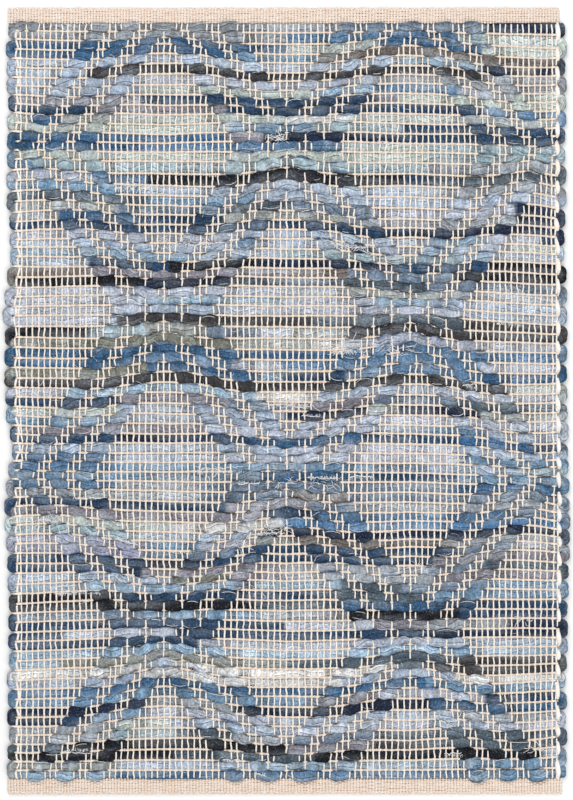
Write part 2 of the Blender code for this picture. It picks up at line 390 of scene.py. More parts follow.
    def wave(self, rows_down: np.ndarray | float, x: np.ndarray | float) -> np.ndarray:
        """How far up the rug a row rides around the diamonds.

        Args:
            rows_down: Rows from the top heading.
            x: Places across the rug, in metres.

        Returns:
            The rise at each place, in metres.
        """
        repeat_warps = 2 * self.half_repeat_warps
        turns, since = np.divmod(rows_down - self.wave_row, self.half_repeat_rows)
        strength = np.sin(np.pi * (since / self.half_repeat_rows) ** self.wave_skew)
        warp = x / self.warp_pitch
        from_middle = np.abs(warp - repeat_warps * np.round(warp / repeat_warps))
        distance = np.where(turns % 2.0 == 0.0, from_middle, self.half_repeat_warps - from_middle)
        step = self.step_lead + since
        inside = 0.5 - 0.5 * np.tanh((distance - step) / self.step_softness)
        to_right = ease(np.asarray((warp + repeat_warps) / self.half_repeat_warps))
        share = self.left_share + (1.0 - self.left_share) * to_right
        rise = self.wave_rise * self.settle(rows_down) * share * strength
        return rise * (inside - step / self.half_repeat_warps)

    def beat(self, rows_down: np.ndarray | float, x: np.ndarray | float) -> np.ndarray:
        """How far up the rug the uneven beat left a row.

        Args:
            rows_down: Rows from the top heading.
            x: Places across the rug, in metres.

        Returns:
            The lift at each place, eased between the table's rows and straight between its places.
        """
        table = np.array(self.beats)
        places = np.array(self.beat_places)
        rows_down, x = np.broadcast_arrays(rows_down, x)
        low = np.clip(np.searchsorted(table[:, 0], rows_down, "right") - 1, 0, len(table) - 2)
        down = ease((rows_down - table[low, 0]) / (table[low + 1, 0] - table[low, 0]))
        part = np.clip(np.searchsorted(places, x, "right") - 1, 0, len(places) - 2)
        across = np.clip((x - places[part]) / (places[part + 1] - places[part]), 0.0, 1.0)
        left = table[low, part + 1] * (1.0 - down) + table[low + 1, part + 1] * down
        right = table[low, part + 2] * (1.0 - down) + table[low + 1, part + 2] * down
        return left * (1.0 - across) + right * across

    def line_y(self, rows_down: np.ndarray | float, x: np.ndarray | float) -> np.ndarray:
        """Y of a line across the rug.

        Args:
            rows_down: Rows from the top heading; a row's middle is at a half.
            x: Places across the rug, in metres.

        Returns:
            Y of the line at each place.
        """
        one, other = (np.sin(down * rows_down + across * x) for down, across in self.stray_waves)
        lift = self.beat(rows_down, x) + self.wave(rows_down, x)
        lift = lift + self.stray * self.settle(rows_down) * (one * other)
        return self.field_length / 2.0 - rows_down * self.row_pitch + lift

    def rows_at(self, x: np.ndarray, y: np.ndarray) -> np.ndarray:
        """Find the rows at places on the rug: line_y turned round.

        Args:
            x: Places across the rug.
            y: Places along it.

        Returns:
            Rows from the top heading down to each place.
        """
        rows_down = (self.field_length / 2.0 - y) / self.row_pitch
        for _ in range(self.search_rounds):
            rows_down = np.clip(rows_down, self.end_gap, self.rows - self.end_gap)
            rows_down = rows_down + (self.line_y(rows_down, x) - y) / self.row_pitch
        return np.clip(rows_down, self.end_gap, self.rows - self.end_gap)

    def side_x(self, rows_down: float, side: int) -> float:
        """X of the turned strips' tips.

        Args:
            rows_down: Rows from the top heading.
            side: -1 for the left side, +1 for the right one.

        Returns:
            X of the tips there.
        """
        shares = [row.share_down for row in self.side_drift]
        outs = [row.left_out if side < 0 else row.right_out for row in self.side_drift]
        return side * (self.half_width + float(np.interp(rows_down / self.rows, shares, outs)))

    def floats(self, row: int, warp: int) -> bool:
        """Whether the strip of a row floats over a face warp.

        Args:
            row: Row of rag, from the top.
            warp: Number of the face warp, 0 on the centre line.

        Returns:
            True where it floats, False where the warp shows.
        """
        if row == 0 and warp in self.tail_draft:
            return True
        if warp > 0 and row in range(*self.slipped_rows):
            warp -= 1
        repeat = 2 * self.half_repeat_rows
        rows_off = abs((row - self.crossing_row + self.half_repeat_rows) % repeat - self.half_repeat_rows)
        at_side = abs(warp) > self.half_repeat_warps
        warps_off = 2 * self.half_repeat_warps - abs(warp) if at_side else abs(warp)
        bounce = len(self.crossing_draft)
        if rows_off > self.half_repeat_rows - bounce:
            rows_off = self.half_repeat_rows - rows_off
            return abs(self.half_repeat_warps - warps_off) in self.crossing_draft[rows_off]
        if rows_off < bounce and not at_side:
            return warps_off in self.crossing_draft[rows_off]
        return warps_off - rows_off in self.slant_draft

    def float_spans(self, row: int) -> Iterator[tuple[float, float]]:
        """Find the floats of a row.

        Args:
            row: Row of rag, from the top.

        Yields:
            X of the warps that bind a float on its left and on its right.
        """
        start = None
        for warp in self.warps:
            if self.floats(row, warp):
                start = warp - 1 if start is None else start
            elif start is not None:
                yield start * self.warp_pitch, warp * self.warp_pitch
                start = None


class StrandMesh:
    """Gathers swept strands into one mesh.

    Each strand is a row of sections along a centre line. Every point also gets its place in its
    own strand: the distance along it, and the offsets across it and up. The materials read that,
    so that wrinkles, plies and fading follow the strand.
    """

    left_spread = 0.0022                 # outward, midway between the middle and the left side
    right_spread = 0.0032
    spread_end = 0.297                   # where the spread has died away again
    map_margin = 0.01                    # left bare at the sides of the bake's map
    lane_margin = 0.05                   # the same between two lanes, as a share of a lane

    def __init__(self, name: str, sides: int) -> None:
        """Start an empty mesh.

        Args:
            name: Name of the piece.
            sides: Number of points of each section.
        """
        self.name = name
        self.sides = sides
        self.count = 0
        self.lanes = 0
        self.points: list[np.ndarray] = []
        self.places: list[np.ndarray] = []
        self.colors: list[np.ndarray] = []
        self.quads: list[np.ndarray] = []
        self.caps: list[list[int]] = []
        self.bake: list[np.ndarray] = []
        self.cap_bake: list[np.ndarray] = []

    def spread(self, x: np.ndarray) -> np.ndarray:
        """Move places across the rug outward, as the warps were drawn apart midway to each side."""
        reach = np.where(x < 0.0, self.left_spread, self.right_spread)
        return x + np.sign(x) * reach * np.sin(np.pi * np.clip(np.abs(x) / self.spread_end, 0.0, 1.0))

    def add(
        self,
        centre: np.ndarray,
        across: np.ndarray,
        up: np.ndarray,
        color: np.ndarray | None = None,
        lane: np.ndarray | None = None,
        lane_length: float = 0.9,
        grain: np.ndarray | None = None,
    ) -> None:
        """Sweep one strand.

        Args:
            centre: Points of the centre line, one row each.
            across: Offsets across the strand, one row of sides for each point.
            up: Offsets upward, in the same layout.
            color: Linear colours: of each point of the centre line, of each point of each
                section, or None for white.
            lane: Lane of the bake's map for each point, or None for one lane.
            lane_length: Length of strand that fills the map's width, in metres.
            grain: Place across the cloth of each point of each section, or None for the offsets
                across the strand.
        """
        number = len(centre)
        centre = np.column_stack([self.spread(centre[:, 0]), centre[:, 1:]])
        tangent = np.gradient(centre, axis=0)
        tangent /= np.linalg.norm(tangent, axis=1, keepdims=True)
        side = np.stack([-tangent[:, 1], tangent[:, 0], np.zeros(number)], axis=1)
        side /= np.linalg.norm(side, axis=1, keepdims=True)
        upward = np.cross(tangent, side)
        ring = centre[:, None, :] + across[:, :, None] * side[:, None, :]
        ring = ring + up[:, :, None] * upward[:, None, :]
        steps = np.linalg.norm(np.diff(centre, axis=0), axis=1)
        along = np.concatenate([[0.0], np.cumsum(steps)])
        grain = across if grain is None else grain
        place = np.stack([np.repeat(along[:, None], self.sides, 1), grain, up], axis=2)
        self.points.append(ring.reshape(-1, 3))
        self.places.append(place.reshape(-1, 3))
        if color is None:
            color = np.ones((number, 3))
        if color.ndim == 2:
            color = np.repeat(color[:, None, :], self.sides, axis=1)
        self.colors.append(color.reshape(-1, 3))

        step, turn = np.meshgrid(np.arange(number - 1), np.arange(self.sides), indexing="ij")
        after = (turn + 1) % self.sides
        corner = self.count + step * self.sides
        beyond = corner + self.sides
        quad = np.stack([corner + turn, beyond + turn, beyond + after, corner + after], axis=2)
        self.quads.append(quad.reshape(-1, 4))
        ends = [self.count, self.count + (number - 1) * self.sides]
        self.caps.append([ends[0] + turn_at for turn_at in range(self.sides)])
        self.caps.append([ends[1] + turn_at for turn_at in reversed(range(self.sides))])
        self.count += number * self.sides

        lane = np.zeros(number, dtype=int) if lane is None else lane
        first = np.r_[True, lane[1:] != lane[:-1]]
        origin = np.maximum.accumulate(np.where(first, np.arange(number), 0))
        reach = (along - along[origin]) / lane_length
        left = reach[:-1][step]
        right = left + (steps / lane_length)[step]
        lane_height = 1.0 - 2.0 * self.lane_margin
        low = self.lanes + lane[:-1][step] + self.lane_margin + lane_height * turn / self.sides
        high = low + lane_height / self.sides
        spots = np.stack([left, low, right, low, right, high, left, high], axis=2)
        self.bake.append(spots.reshape(-1, 4, 2))
        self.cap_bake.append(np.tile([left[0, 0], low[0, 0]], (self.sides, 1)))
        self.cap_bake.append(np.tile([right[-1, 0], low[-1, 0]], (self.sides, 1)))
        self.lanes += int(lane.max()) + 1

    def build(self, material: bpy.types.Material) -> bpy.types.Object:
        """Make the object, link it to the scene and dress it.

        Args:
            material: Finish of every face.

        Returns:
            The new object.
        """
        mesh = bpy.data.meshes.new(self.name)
        faces = np.concatenate(self.quads).tolist() + self.caps
        mesh.from_pydata(np.concatenate(self.points).tolist(), [], faces)
        place = mesh.attributes.new("strand", "FLOAT_VECTOR", "POINT")
        place.data.foreach_set("vector", np.concatenate(self.places).astype(np.float32).ravel())
        # Each point's colour, with the painted light and shade given to the strips and yarns
        shade = mesh.attributes.new("shade", "FLOAT_COLOR", "POINT")
        colors = np.concatenate(self.colors)
        colors = np.concatenate([colors, np.ones((len(colors), 1))], axis=1)
        shade.data.foreach_set("color", colors.astype(np.float32).ravel())
        spots = np.concatenate([np.concatenate(self.bake).reshape(-1, 2), *self.cap_bake])
        map_width = 1.0 - 2.0 * self.map_margin
        spots[:, 0] = self.map_margin + map_width * spots[:, 0] / spots[:, 0].max()
        spots[:, 1] /= self.lanes
        layer = mesh.uv_layers.new(name="OFBake")
        layer.uv.foreach_set("vector", spots.astype(np.float32).ravel())
        mesh.shade_smooth()
        mesh.materials.append(material)
        made = bpy.data.objects.new(self.name, mesh)
        bpy.context.scene.collection.objects.link(made)
        return made


def round_section(
    number: int, radius: np.ndarray | float, sides: int, turn: float = 0.0
) -> tuple[np.ndarray, np.ndarray]:
    """Offsets of round sections.

    Args:
        number: Number of sections.
        radius: Radius of each section, or of all.
        sides: Points of a section.
        turn: How far the first point is turned from the side, in radians.

    Returns:
        The offsets across and up.
    """
    turns = turn + 2.0 * np.pi * np.arange(sides) / sides
    radii = np.broadcast_to(radius, (number,))[:, None]
    return radii * np.cos(turns), radii * np.sin(turns)


def gray(level: np.ndarray) -> np.ndarray:
    """Turn levels of brightness into neutral colours, one row each."""
    return np.repeat(np.asarray(level, dtype=float)[:, None], 3, axis=1)


class Span(NamedTuple):
    """A range of values, and the range that it is mapped to."""

    low: float
    high: float
    least: float             # effect at the low end
    most: float              # effect at the high end

    def limits(self) -> dict[str, float]:
        """Give the two ranges as inputs of Blender's Map Range node."""
        return {"From Min": self.low, "From Max": self.high, "To Min": self.least, "To Max": self.most}


class Mottle(NamedTuple):
    """A noise in the cloth, and how it tells."""

    size_mm: float
    stretch: tuple[float, float, float]  # along the strand, across it and up; under 1 draws it out
    detail: float
    effect: Span

    def add(self, tree: bpy.types.NodeTree, place: bpy.types.NodeSocket) -> list[bpy.types.Node]:
        """Add the mottling to a material.

        Args:
            tree: The material's node tree.
            place: Place in the strand, in metres.

        Returns:
            The bare noise, and its effect.
        """
        scaled = add_node(tree, "ShaderNodeVectorMath", {0: place, 1: self.stretch}, operation="MULTIPLY")
        grain = {"Vector": scaled, "Scale": 1.0 / (self.size_mm * MM), "Detail": self.detail}
        noise = add_node(tree, "ShaderNodeTexNoise", grain)
        return [noise, add_node(tree, "ShaderNodeMapRange", {"Value": noise, **self.effect.limits()})]


@dataclass(frozen=True)
class RagDenim:
    """Washed denim torn into strips and folded: matt cotton twill, mottled by wear.

    The folds show as dark creases, which are painted shade, with a paler turned edge beside them,
    which is partly the cloth's pale edge and partly a painted highlight. The twill shows as fine
    streaks across the strip, and the torn weft threads as white flecks. That tells the eye that the
    strips are cloth and not cord.
    """

    name: str = "washed_denim_rag"
    # Washed-out patches
    fade: Mottle = Mottle(22.0, (0.6, 1.0, 1.0), 2.0, Span(0.3, 0.7, 0.84, 1.16))
    # Real twill lines are 0.6 mm apart, drawn coarser to show
    twill: Mottle = Mottle(1.9, (1.0, 0.45, 0.45), 1.0, Span(0.3, 0.7, 0.90, 1.10))
    # Real yarn grain is 0.5 mm, drawn coarser to show
    grain: Mottle = Mottle(2.1, (1.0, 1.0, 1.0), 2.0, Span(0.3, 0.7, 0.64, 1.36))
    # Real flecks of white weft are 0.5 mm, drawn coarser to show
    fleck: Mottle = Mottle(1.5, (1.0, 1.0, 1.0), 1.0, Span(0.61, 0.71, 0.0, 0.38))
    fleck_on_dark: Span = Span(0.01, 0.30, 0.25, 1.0)    # a strip's brightness, to its share of the flecks
    fold_mm: float = 5.0                 # between folds, across the strip
    fold_shown: Mottle = Mottle(15.0, (0.5, 0.2, 0.2), 0.0, Span(0.34, 0.50, 0.0, 1.0))
    # How many folds a crease may wander by
    fold_drift: Mottle = Mottle(9.0, (0.36, 0.20, 0.20), 0.0, Span(0.0, 1.0, 0.0, 2.8))
    # Shares of a fold's breadth, to how much darker or paler the cloth is there: painted shade in the crease,
    # and a pale turned edge that is partly a painted highlight
    crease: Span = Span(0.0, 0.20, -0.92, 0.0)
    turned_edge_and_highlight: Span = Span(0.55, 0.97, 0.0, 0.42)
    fold_relief: float = 0.6             # relief of the folds beside that of the grain
    twill_relief: float = 0.5
    relief_mm: float = 0.8
    relief_strength: float = 0.5
    pale: str = "E9EDF0"
    roughness: float = 0.92
    gloss: float = 0.12
    fuzz: float = 0.03

    def make(self) -> bpy.types.Material:
        """Make the material.

        Returns:
            The finish of the strips.
        """
        material = bpy.data.materials.new(self.name)
        material.use_nodes = True
        tree = material.node_tree
        # The strips' colours, with their painted crest light and crevice shade
        dye = add_node(tree, "ShaderNodeAttribute", attribute_name="shade").outputs["Color"]
        place = add_node(tree, "ShaderNodeAttribute", attribute_name="strand").outputs["Vector"]
        tone = self.fade.add(tree, place)[1]
        twill, twill_tone = self.twill.add(tree, place)
        grain, grain_tone = self.grain.add(tree, place)
        shown = self.fold_shown.add(tree, place)[1]
        drift = self.fold_drift.add(tree, place)[1]

        across = add_node(tree, "ShaderNodeSeparateXYZ", {0: place}).outputs["Y"]
        counted = {0: across, 1: 1.0 / (self.fold_mm * MM), 2: drift}
        folds = add_node(tree, "ShaderNodeMath", counted, operation="MULTIPLY_ADD")
        fold = add_node(tree, "ShaderNodeMath", {0: folds}, operation="FRACT")
        effects = [twill_tone, grain_tone]
        # Painted shade in the crease, and the turned edge's pale colour with a painted highlight
        for line in (self.crease, self.turned_edge_and_highlight):
            change = add_node(tree, "ShaderNodeMapRange", {"Value": fold, **line.limits()})
            where_shown = {0: change, 1: shown, 2: 1.0}
            effects.append(add_node(tree, "ShaderNodeMath", where_shown, operation="MULTIPLY_ADD"))
        for effect in effects:
            tone = add_node(tree, "ShaderNodeMath", {0: tone, 1: effect}, operation="MULTIPLY")
        toned = add_node(tree, "ShaderNodeVectorMath", {0: dye, "Scale": tone}, operation="SCALE")

        bright = add_node(tree, "ShaderNodeRGBToBW", {0: dye})
        share = add_node(tree, "ShaderNodeMapRange", {"Value": bright, **self.fleck_on_dark.limits()})
        fleck = self.fleck.add(tree, place)[1]
        flecks = add_node(tree, "ShaderNodeMath", {0: fleck, 1: share}, operation="MULTIPLY")
        colors = {0: flecks, MIX_A: toned, MIX_B: to_linear(self.pale)}
        cloth = add_node(tree, "ShaderNodeMix", colors, data_type="RGBA")

        ridges = add_node(tree, "ShaderNodeMath", {0: fold, 1: shown}, operation="MULTIPLY")
        on_grain = {0: ridges, 1: self.fold_relief, 2: grain}
        relief = add_node(tree, "ShaderNodeMath", on_grain, operation="MULTIPLY_ADD")
        with_twill = {0: twill, 1: self.twill_relief, 2: relief}
        relief = add_node(tree, "ShaderNodeMath", with_twill, operation="MULTIPLY_ADD")
        height = {"Height": relief, "Strength": self.relief_strength, "Distance": self.relief_mm * MM}
        dress(tree, cloth.outputs[MIX_RESULT], add_node(tree, "ShaderNodeBump", height), self)
        return material


@dataclass(frozen=True)
class CottonYarn:
    """Undyed cotton yarn, spun and plied: soft, matt and creamy.

    A slanting ply line and a broad slub vary its tone, so that it looks spun and not moulded.
    """

    name: str
    light: str = "FFFDF8"
    shade: str = "F8E8D6"
    ply_mm: float = 3.0                  # along the yarn from one ply line to the next
    ply_depth: float = 0.10              # of the ply line, beside the slub
    slub_mm: float = 7.0
    slub_detail: float = 3.0
    tone: Span = Span(0.3, 0.62, 0.0, 1.0)
    relief_mm: float = 0.5
    relief_strength: float = 0.7
    roughness: float = 0.95
    gloss: float = 0.2
    fuzz: float = 0.1

    def make(self) -> bpy.types.Material:
        """Make the material.

        Returns:
            The finish of the yarn.
        """
        material = bpy.data.materials.new(self.name)
        material.use_nodes = True
        tree = material.node_tree
        # Each point's tone from the mesh: painted shade in the yarns' dips and gaps, random tone, and the
        # loose threads' own colours
        tone_and_painted_shade = add_node(tree, "ShaderNodeAttribute", attribute_name="shade").outputs["Color"]
        place = add_node(tree, "ShaderNodeAttribute", attribute_name="strand").outputs["Vector"]
        along, across, up = add_node(tree, "ShaderNodeSeparateXYZ", {0: place}).outputs
        around = add_node(tree, "ShaderNodeMath", {0: up, 1: across}, operation="ARCTAN2")
        turns = {0: along, 1: 2.0 * math.pi / (self.ply_mm * MM), 2: around}
        phase = add_node(tree, "ShaderNodeMath", turns, operation="MULTIPLY_ADD")
        ply = add_node(tree, "ShaderNodeMath", {0: phase}, operation="SINE")
        grain = {"Vector": place, "Scale": 1.0 / (self.slub_mm * MM), "Detail": self.slub_detail}
        slub = add_node(tree, "ShaderNodeTexNoise", grain)
        spun = {0: ply, 1: self.ply_depth, 2: slub}
        mixed = add_node(tree, "ShaderNodeMath", spun, operation="MULTIPLY_ADD")
        tone = add_node(tree, "ShaderNodeMapRange", {"Value": mixed, **self.tone.limits()})
        colors = {0: tone, MIX_A: to_linear(self.shade), MIX_B: to_linear(self.light)}
        color = add_node(tree, "ShaderNodeMix", colors, data_type="RGBA").outputs[MIX_RESULT]
        shaded = add_node(tree, "ShaderNodeVectorMath", {0: color, 1: tone_and_painted_shade}, operation="MULTIPLY")
        height = {"Height": mixed, "Strength": self.relief_strength, "Distance": self.relief_mm * MM}
        dress(tree, shaded.outputs[0], add_node(tree, "ShaderNodeBump", height), self)
        return material


def dress(
    tree: bpy.types.NodeTree,
    color: bpy.types.NodeSocket,
    bump: bpy.types.Node,
    finish: RagDenim | CottonYarn,
) -> None:
    """Give a material's shader its colour, relief, roughness, gloss and fuzz.

    Args:
        tree: The material's node tree.
        color: Base colour.
        bump: The relief.
        finish: Finish whose roughness, gloss and fuzz are taken.
    """
    shader = tree.nodes["Principled BSDF"]
    tree.links.new(color, shader.inputs["Base Color"])
    tree.links.new(bump.outputs["Normal"], shader.inputs["Normal"])
    shader.inputs["Roughness"].default_value = finish.roughness
    shader.inputs["Specular IOR Level"].default_value = finish.gloss
    shader.inputs["Sheen Weight"].default_value = finish.fuzz


class StripForm(NamedTuple):
    """Form of a row's strip at each place across the rug, in metres."""

    middle: np.ndarray       # height of its centre line
    half_breadth: np.ndarray
    half_height: np.ndarray
    rise: np.ndarray         # 0 where a warp binds it down, 1 at the top of a float
    bound: np.ndarray        # 1 where it is bound down between two floats
    lean: np.ndarray         # how far a float's end swings up the rug


class LaidBand(NamedTuple):
    """The strips of a band of rows, laid to and fro, point by point."""

    centre: np.ndarray
    form: StripForm
    color: np.ndarray
    row: np.ndarray          # counted from the band's first row
    shear: np.ndarray        # shift of the cloth's folds across the strip


@dataclass
class RagWeft:
    """The folded denim strips, woven to and fro with a turn at each side."""

    loom: Loom
    bands: tuple[str, ...] = ("rag_rows_upper", "rag_rows_middle", "rag_rows_lower")
    # Angles of a section's points, closer on the face, from the strip's near edge
    section_deg: tuple[float, ...] = (0.0, 28.0, 52.0, 76.0, 100.0, 126.0, 152.0, 180.0, 236.0, 304.0)
    section_power: float = 0.72          # under 1 flattens the face and squares the edges
    floor_gap: float = 0.0009
    plain_middle: float = 0.0034
    float_middle: float = 0.0050
    plain_height: float = 0.0025
    float_height: float = 0.0031
    bound_height: float = 0.0018
    breadth_share: float = 0.455         # half breadth of a plain strip, as a share of the pitch
    float_spread: float = 0.0013         # how much further a float spreads to each side
    float_fullness: float = 0.52         # under 1: a float widens at once past the warp that binds it
    bound_narrow: float = 0.0005         # how much narrower a strip is between two floats
    cell_swell: float = 0.0004           # swelling between two face warps
    float_variety: float = 0.15          # how much the floats differ in size
    lean_gain: float = 0.45              # lean of a float, as a share of its row's own rise
    lean_spread: float = 0.0004
    last_lean: float = 0.0016            # how far the last row's floats lean over the heading
    turn_breadth: float = 0.0047         # half breadth in a turn
    turn_corner: float = 0.12            # how much broader the strip is at a turn's two corners
    turn_height: float = 0.0029
    turn_looseness: tuple[float, float] = (1.0, 0.4)     # how uneven the turns are, left and right
    turn_points: int = 11
    end_points: int = 6
    end_breadth: float = 0.0078          # half breadth of the folded end of the first and last strip
    end_drop: float = 0.0020             # how far such an end lies toward the rug's middle
    crease_depth: float = 0.0011
    twist_deg: float = 16.0
    splice: float = 0.004                # length over which one strip gives way to the next
    dye: float = 0.84                    # depth of all the strips' colours together
    back: str = "C3CDD6"                 # wrong side of the denim, woven with white weft
    back_share: float = 0.50
    face: str = "3D5C85"                 # right side of a pale strip, where a fold bares it
    face_share: float = 0.75
    pale_from: float = 0.30              # luminance from which a strip lies wrong side up
    # Painted shade and light on the strips: darker in the crevices between strips and beside a float, darker
    # between two floats and beside a warp, and painted light between two warps
    painted_edge_shade: float = 0.60             # brightness in the crevice between two plain strips
    float_painted_edge_shade: float = 0.30       # the same beside a float
    painted_bound_shade: float = 0.36            # how much darker a strip is between two floats
    painted_warp_shade: float = 0.15             # how much darker a plain strip is beside a warp
    painted_cell_light: float = 0.14             # how much lighter it is between two warps
    cell_variety: float = 0.09           # how much the cells between the warps differ
    fray_reach: float = 0.0038           # between the free values of a frayed strip's mottling
    fray_levels: tuple[float, ...] = (0.06, 0.10, 0.16, 0.30)
    colors: list[tuple[np.ndarray, np.ndarray]] = field(default_factory=list)

    def __post_init__(self) -> None:
        """Turn the strip order into places across the rug and linear colours."""
        tints = np.random.default_rng(11)
        for line in STRIP_ORDER:
            starts = []
            shades = []
            reach = 0.0
            for item in line.split(", "):
                word, length = item.split()
                shade = np.array(to_linear(Shade[word.upper()].value)[:3])
                starts.append(reach)
                shades.append(shade * self.dye * tints.uniform(0.90, 1.10))
                reach += float(length) / STRIP_PARTS
            edges = (np.array(starts) + tints.uniform(-0.008, 0.008, len(starts)) - 0.5) * 2.0
            self.colors.append((edges * self.loom.half_width, np.array(shades)))

    def color_at(self, row: int, x: np.ndarray) -> np.ndarray:
        """Colour of a row's strip at places across the rug.

        Args:
            row: Row of rag.
            x: Places across the rug.

        Returns:
            A linear colour for each place.
        """
        starts, shades = self.colors[row]
        color = np.repeat(shades[:1], len(x), axis=0)
        for start, shade in zip(starts[1:], shades[1:]):
            share = ease((x - start) / self.splice + 0.5)[:, None]
            color = color * (1.0 - share) + shade * share
        return color

    def form(self, row: int, x: np.ndarray) -> StripForm:
        """Form of a row's strip.

        Args:
            row: Row of rag.
            x: Places across the rug.

        Returns:
            The strip's form at each place.
        """
        loom = self.loom
        draws = np.random.default_rng(2000 + row)
        rise = np.zeros_like(x)
        bound = np.zeros_like(x)
        lean = np.zeros_like(x)
        size = np.ones_like(x)
        for start, end in loom.float_spans(row):
            share = (x - start) / (end - start)
            inside = (share > 0.0) & (share < 1.0)
            row_rise = float(loom.line_y(row + 0.5, end) - loom.line_y(row + 0.5, start))
            swing = self.lean_gain * row_rise + draws.normal(0.0, self.lean_spread)
            rise[inside] = np.sin(np.pi * share[inside]) ** self.float_fullness
            lean[inside] = -swing * np.sin(2.0 * np.pi * share[inside])
            if row == loom.rows - 1:
                lean[inside] -= self.last_lean * np.sin(np.pi * share[inside])
            size[inside] = 1.0 + draws.uniform(-self.float_variety, self.float_variety)
            gap = np.maximum(start - x, x - end) / loom.warp_pitch
            bound = np.maximum(bound, ease(2.6 - gap) * (gap > 0.0))
        bound = np.where(rise > 0.0, 0.0, bound)
        near = np.where(rise > 0.0, 1.0, bound)
        pitch = (loom.line_y(row, x) - loom.line_y(row + 1.0, x)) * self.breadth_share
        swell = np.abs(np.sin(np.pi * x / loom.warp_pitch)) * (rise == 0.0)
        height = self.plain_height + (self.bound_height - self.plain_height) * near
        height = height + (self.float_height * size - height) * rise + self.cell_swell * swell
        breadth = pitch - self.bound_narrow * bound + (self.float_spread + pitch * (size - 1.0)) * rise
        middle = self.plain_middle + (self.float_middle - self.plain_middle) * rise
        middle = np.maximum(middle, height + self.floor_gap)
        return StripForm(middle, breadth, height, rise, bound, lean)

    def top(self, row: int, x: np.ndarray) -> np.ndarray:
        """Height of the strip's crest at places across the rug."""
        form = self.form(row, x)
        return form.middle + form.half_height

    def surface(self, x: np.ndarray, y: np.ndarray) -> np.ndarray:
        """Height of the rags at places on the rug."""
        rows_down = self.loom.rows_at(x, y)
        rows = rows_down.astype(int)
        heights = np.zeros_like(x)
        for row in np.unique(rows):
            here = rows == row
            form = self.form(int(row), x[here])
            off = (rows_down[here] - row - 0.5) * self.loom.row_pitch / form.half_breadth
            bulge = np.clip(1.0 - np.abs(off) ** (2.0 / self.section_power), 0.0, 1.0)
            heights[here] = form.middle + form.half_height * bulge ** (self.section_power / 2.0)
        return heights

    def row_places(self, row: int, left: float, right: float) -> np.ndarray:
        """Places of a row's sections: two for each warp pitch, and three in the floats."""
        loom = self.loom
        pitch = loom.warp_pitch
        places = []
        for warp in range(-loom.warps_each_side - 2, loom.warps_each_side + 2):
            near_float = loom.floats(row, warp) or loom.floats(row, warp + 1)
            steps = (0.0, 1.0 / 3.0, 2.0 / 3.0) if near_float else (0.0, 0.5)
            places += [(warp + step) * pitch for step in steps]
        inner = [place for place in places if left + pitch / 4.0 < place < right - pitch / 4.0]
        return np.array([left, *inner, right])

    def turn_centre(self, row: int, side: int) -> float:
        """X of the centre of the turn from a row to the next one."""
        half_pitch = self.loom.row_pitch / 2.0
        return self.loom.side_x(row + 1.0, side) - side * (half_pitch + self.turn_breadth)

    def sections(self, along: np.ndarray, form: StripForm, seed: int) -> tuple[np.ndarray, np.ndarray]:
        """Offsets of the folded strip's sections.

        Args:
            along: Distance along the strip.
            form: The strip's form at those distances.
            seed: Seed of the strip's lumps, creases and twist.

        Returns:
            The offsets across and up.
        """
        angle = np.radians(np.array(self.section_deg))[None, :]
        lump = 1.0 + 0.06 * wander(along, 0.014, seed)[:, None]
        lump = lump + 0.05 * wander(along, 0.006, seed + 5)[:, None]
        across = form.half_breadth[:, None] * lump * np.sign(np.cos(angle))
        across = across * np.abs(np.cos(angle)) ** self.section_power
        up = form.half_height[:, None] * lump * np.sign(np.sin(angle))
        up = up * np.abs(np.sin(angle)) ** self.section_power
        for number, (middle_deg, drift_deg) in enumerate(((64.0, 24.0), (118.0, 26.0))):
            drift = wander(along, 0.045, seed + 1 + number)
            crease = np.radians(middle_deg + drift_deg * drift)[:, None]
            shown = np.clip(0.35 + 0.75 * wander(along, 0.028, seed + 7 + number), 0.0, 1.0)
            off = (angle - crease) / np.radians(17.0)
            depth = self.crease_depth * shown * (0.4 + 0.6 * form.rise)
            up = up - depth[:, None] * np.exp(-off * off) * (np.sin(angle) > 0.0)
        twist = np.radians(self.twist_deg * wander(along, 0.022, seed + 3))[:, None]
        twist = twist * (0.2 + 0.8 * form.rise[:, None])
        return (
            across * np.cos(twist) - up * np.sin(twist),
            across * np.sin(twist) + up * np.cos(twist),
        )

    def grain(self, shear: np.ndarray) -> np.ndarray:
        """Place of each section's points across the cloth, as if the strip had one breadth."""
        turned = np.cos(np.radians(np.array(self.section_deg)))
        even = self.loom.row_pitch * self.breadth_share * np.sign(turned)
        even = even * np.abs(turned) ** self.section_power
        return even[None, :] + shear[:, None]

    def tints(self, along: np.ndarray, laid: LaidBand, seed: int) -> np.ndarray:
        """Colour every point of every section: painted light on the crests, painted shade in the crevices,
        beside the warps and between two floats, painted light between two warps, and two-sided folds.

        Args:
            along: Distance along the strip.
            laid: The laid strips.
            seed: Seed of the wear.

        Returns:
            Linear colours, by point of the centre line and point of the section.
        """
        angle = np.radians(np.array(self.section_deg))[None, :]
        # Painted light: the top of each section is lighter and its sides darker
        crest = np.clip(np.sin(angle), 0.0, 1.0) ** 0.60
        tone = 1.0 + 0.10 * wander(along, 0.055, seed) + 0.12 * wander(along, 0.0072, seed + 1)
        frays = np.random.default_rng(seed + 6).choice(self.fray_levels, int(laid.row.max()) + 1)
        tone = tone + frays[laid.row] * wander(along, self.fray_reach, seed + 5)
        # Painted shade where a strip is bound down between two floats
        tone = tone * (1.0 - self.painted_bound_shade * laid.form.bound)
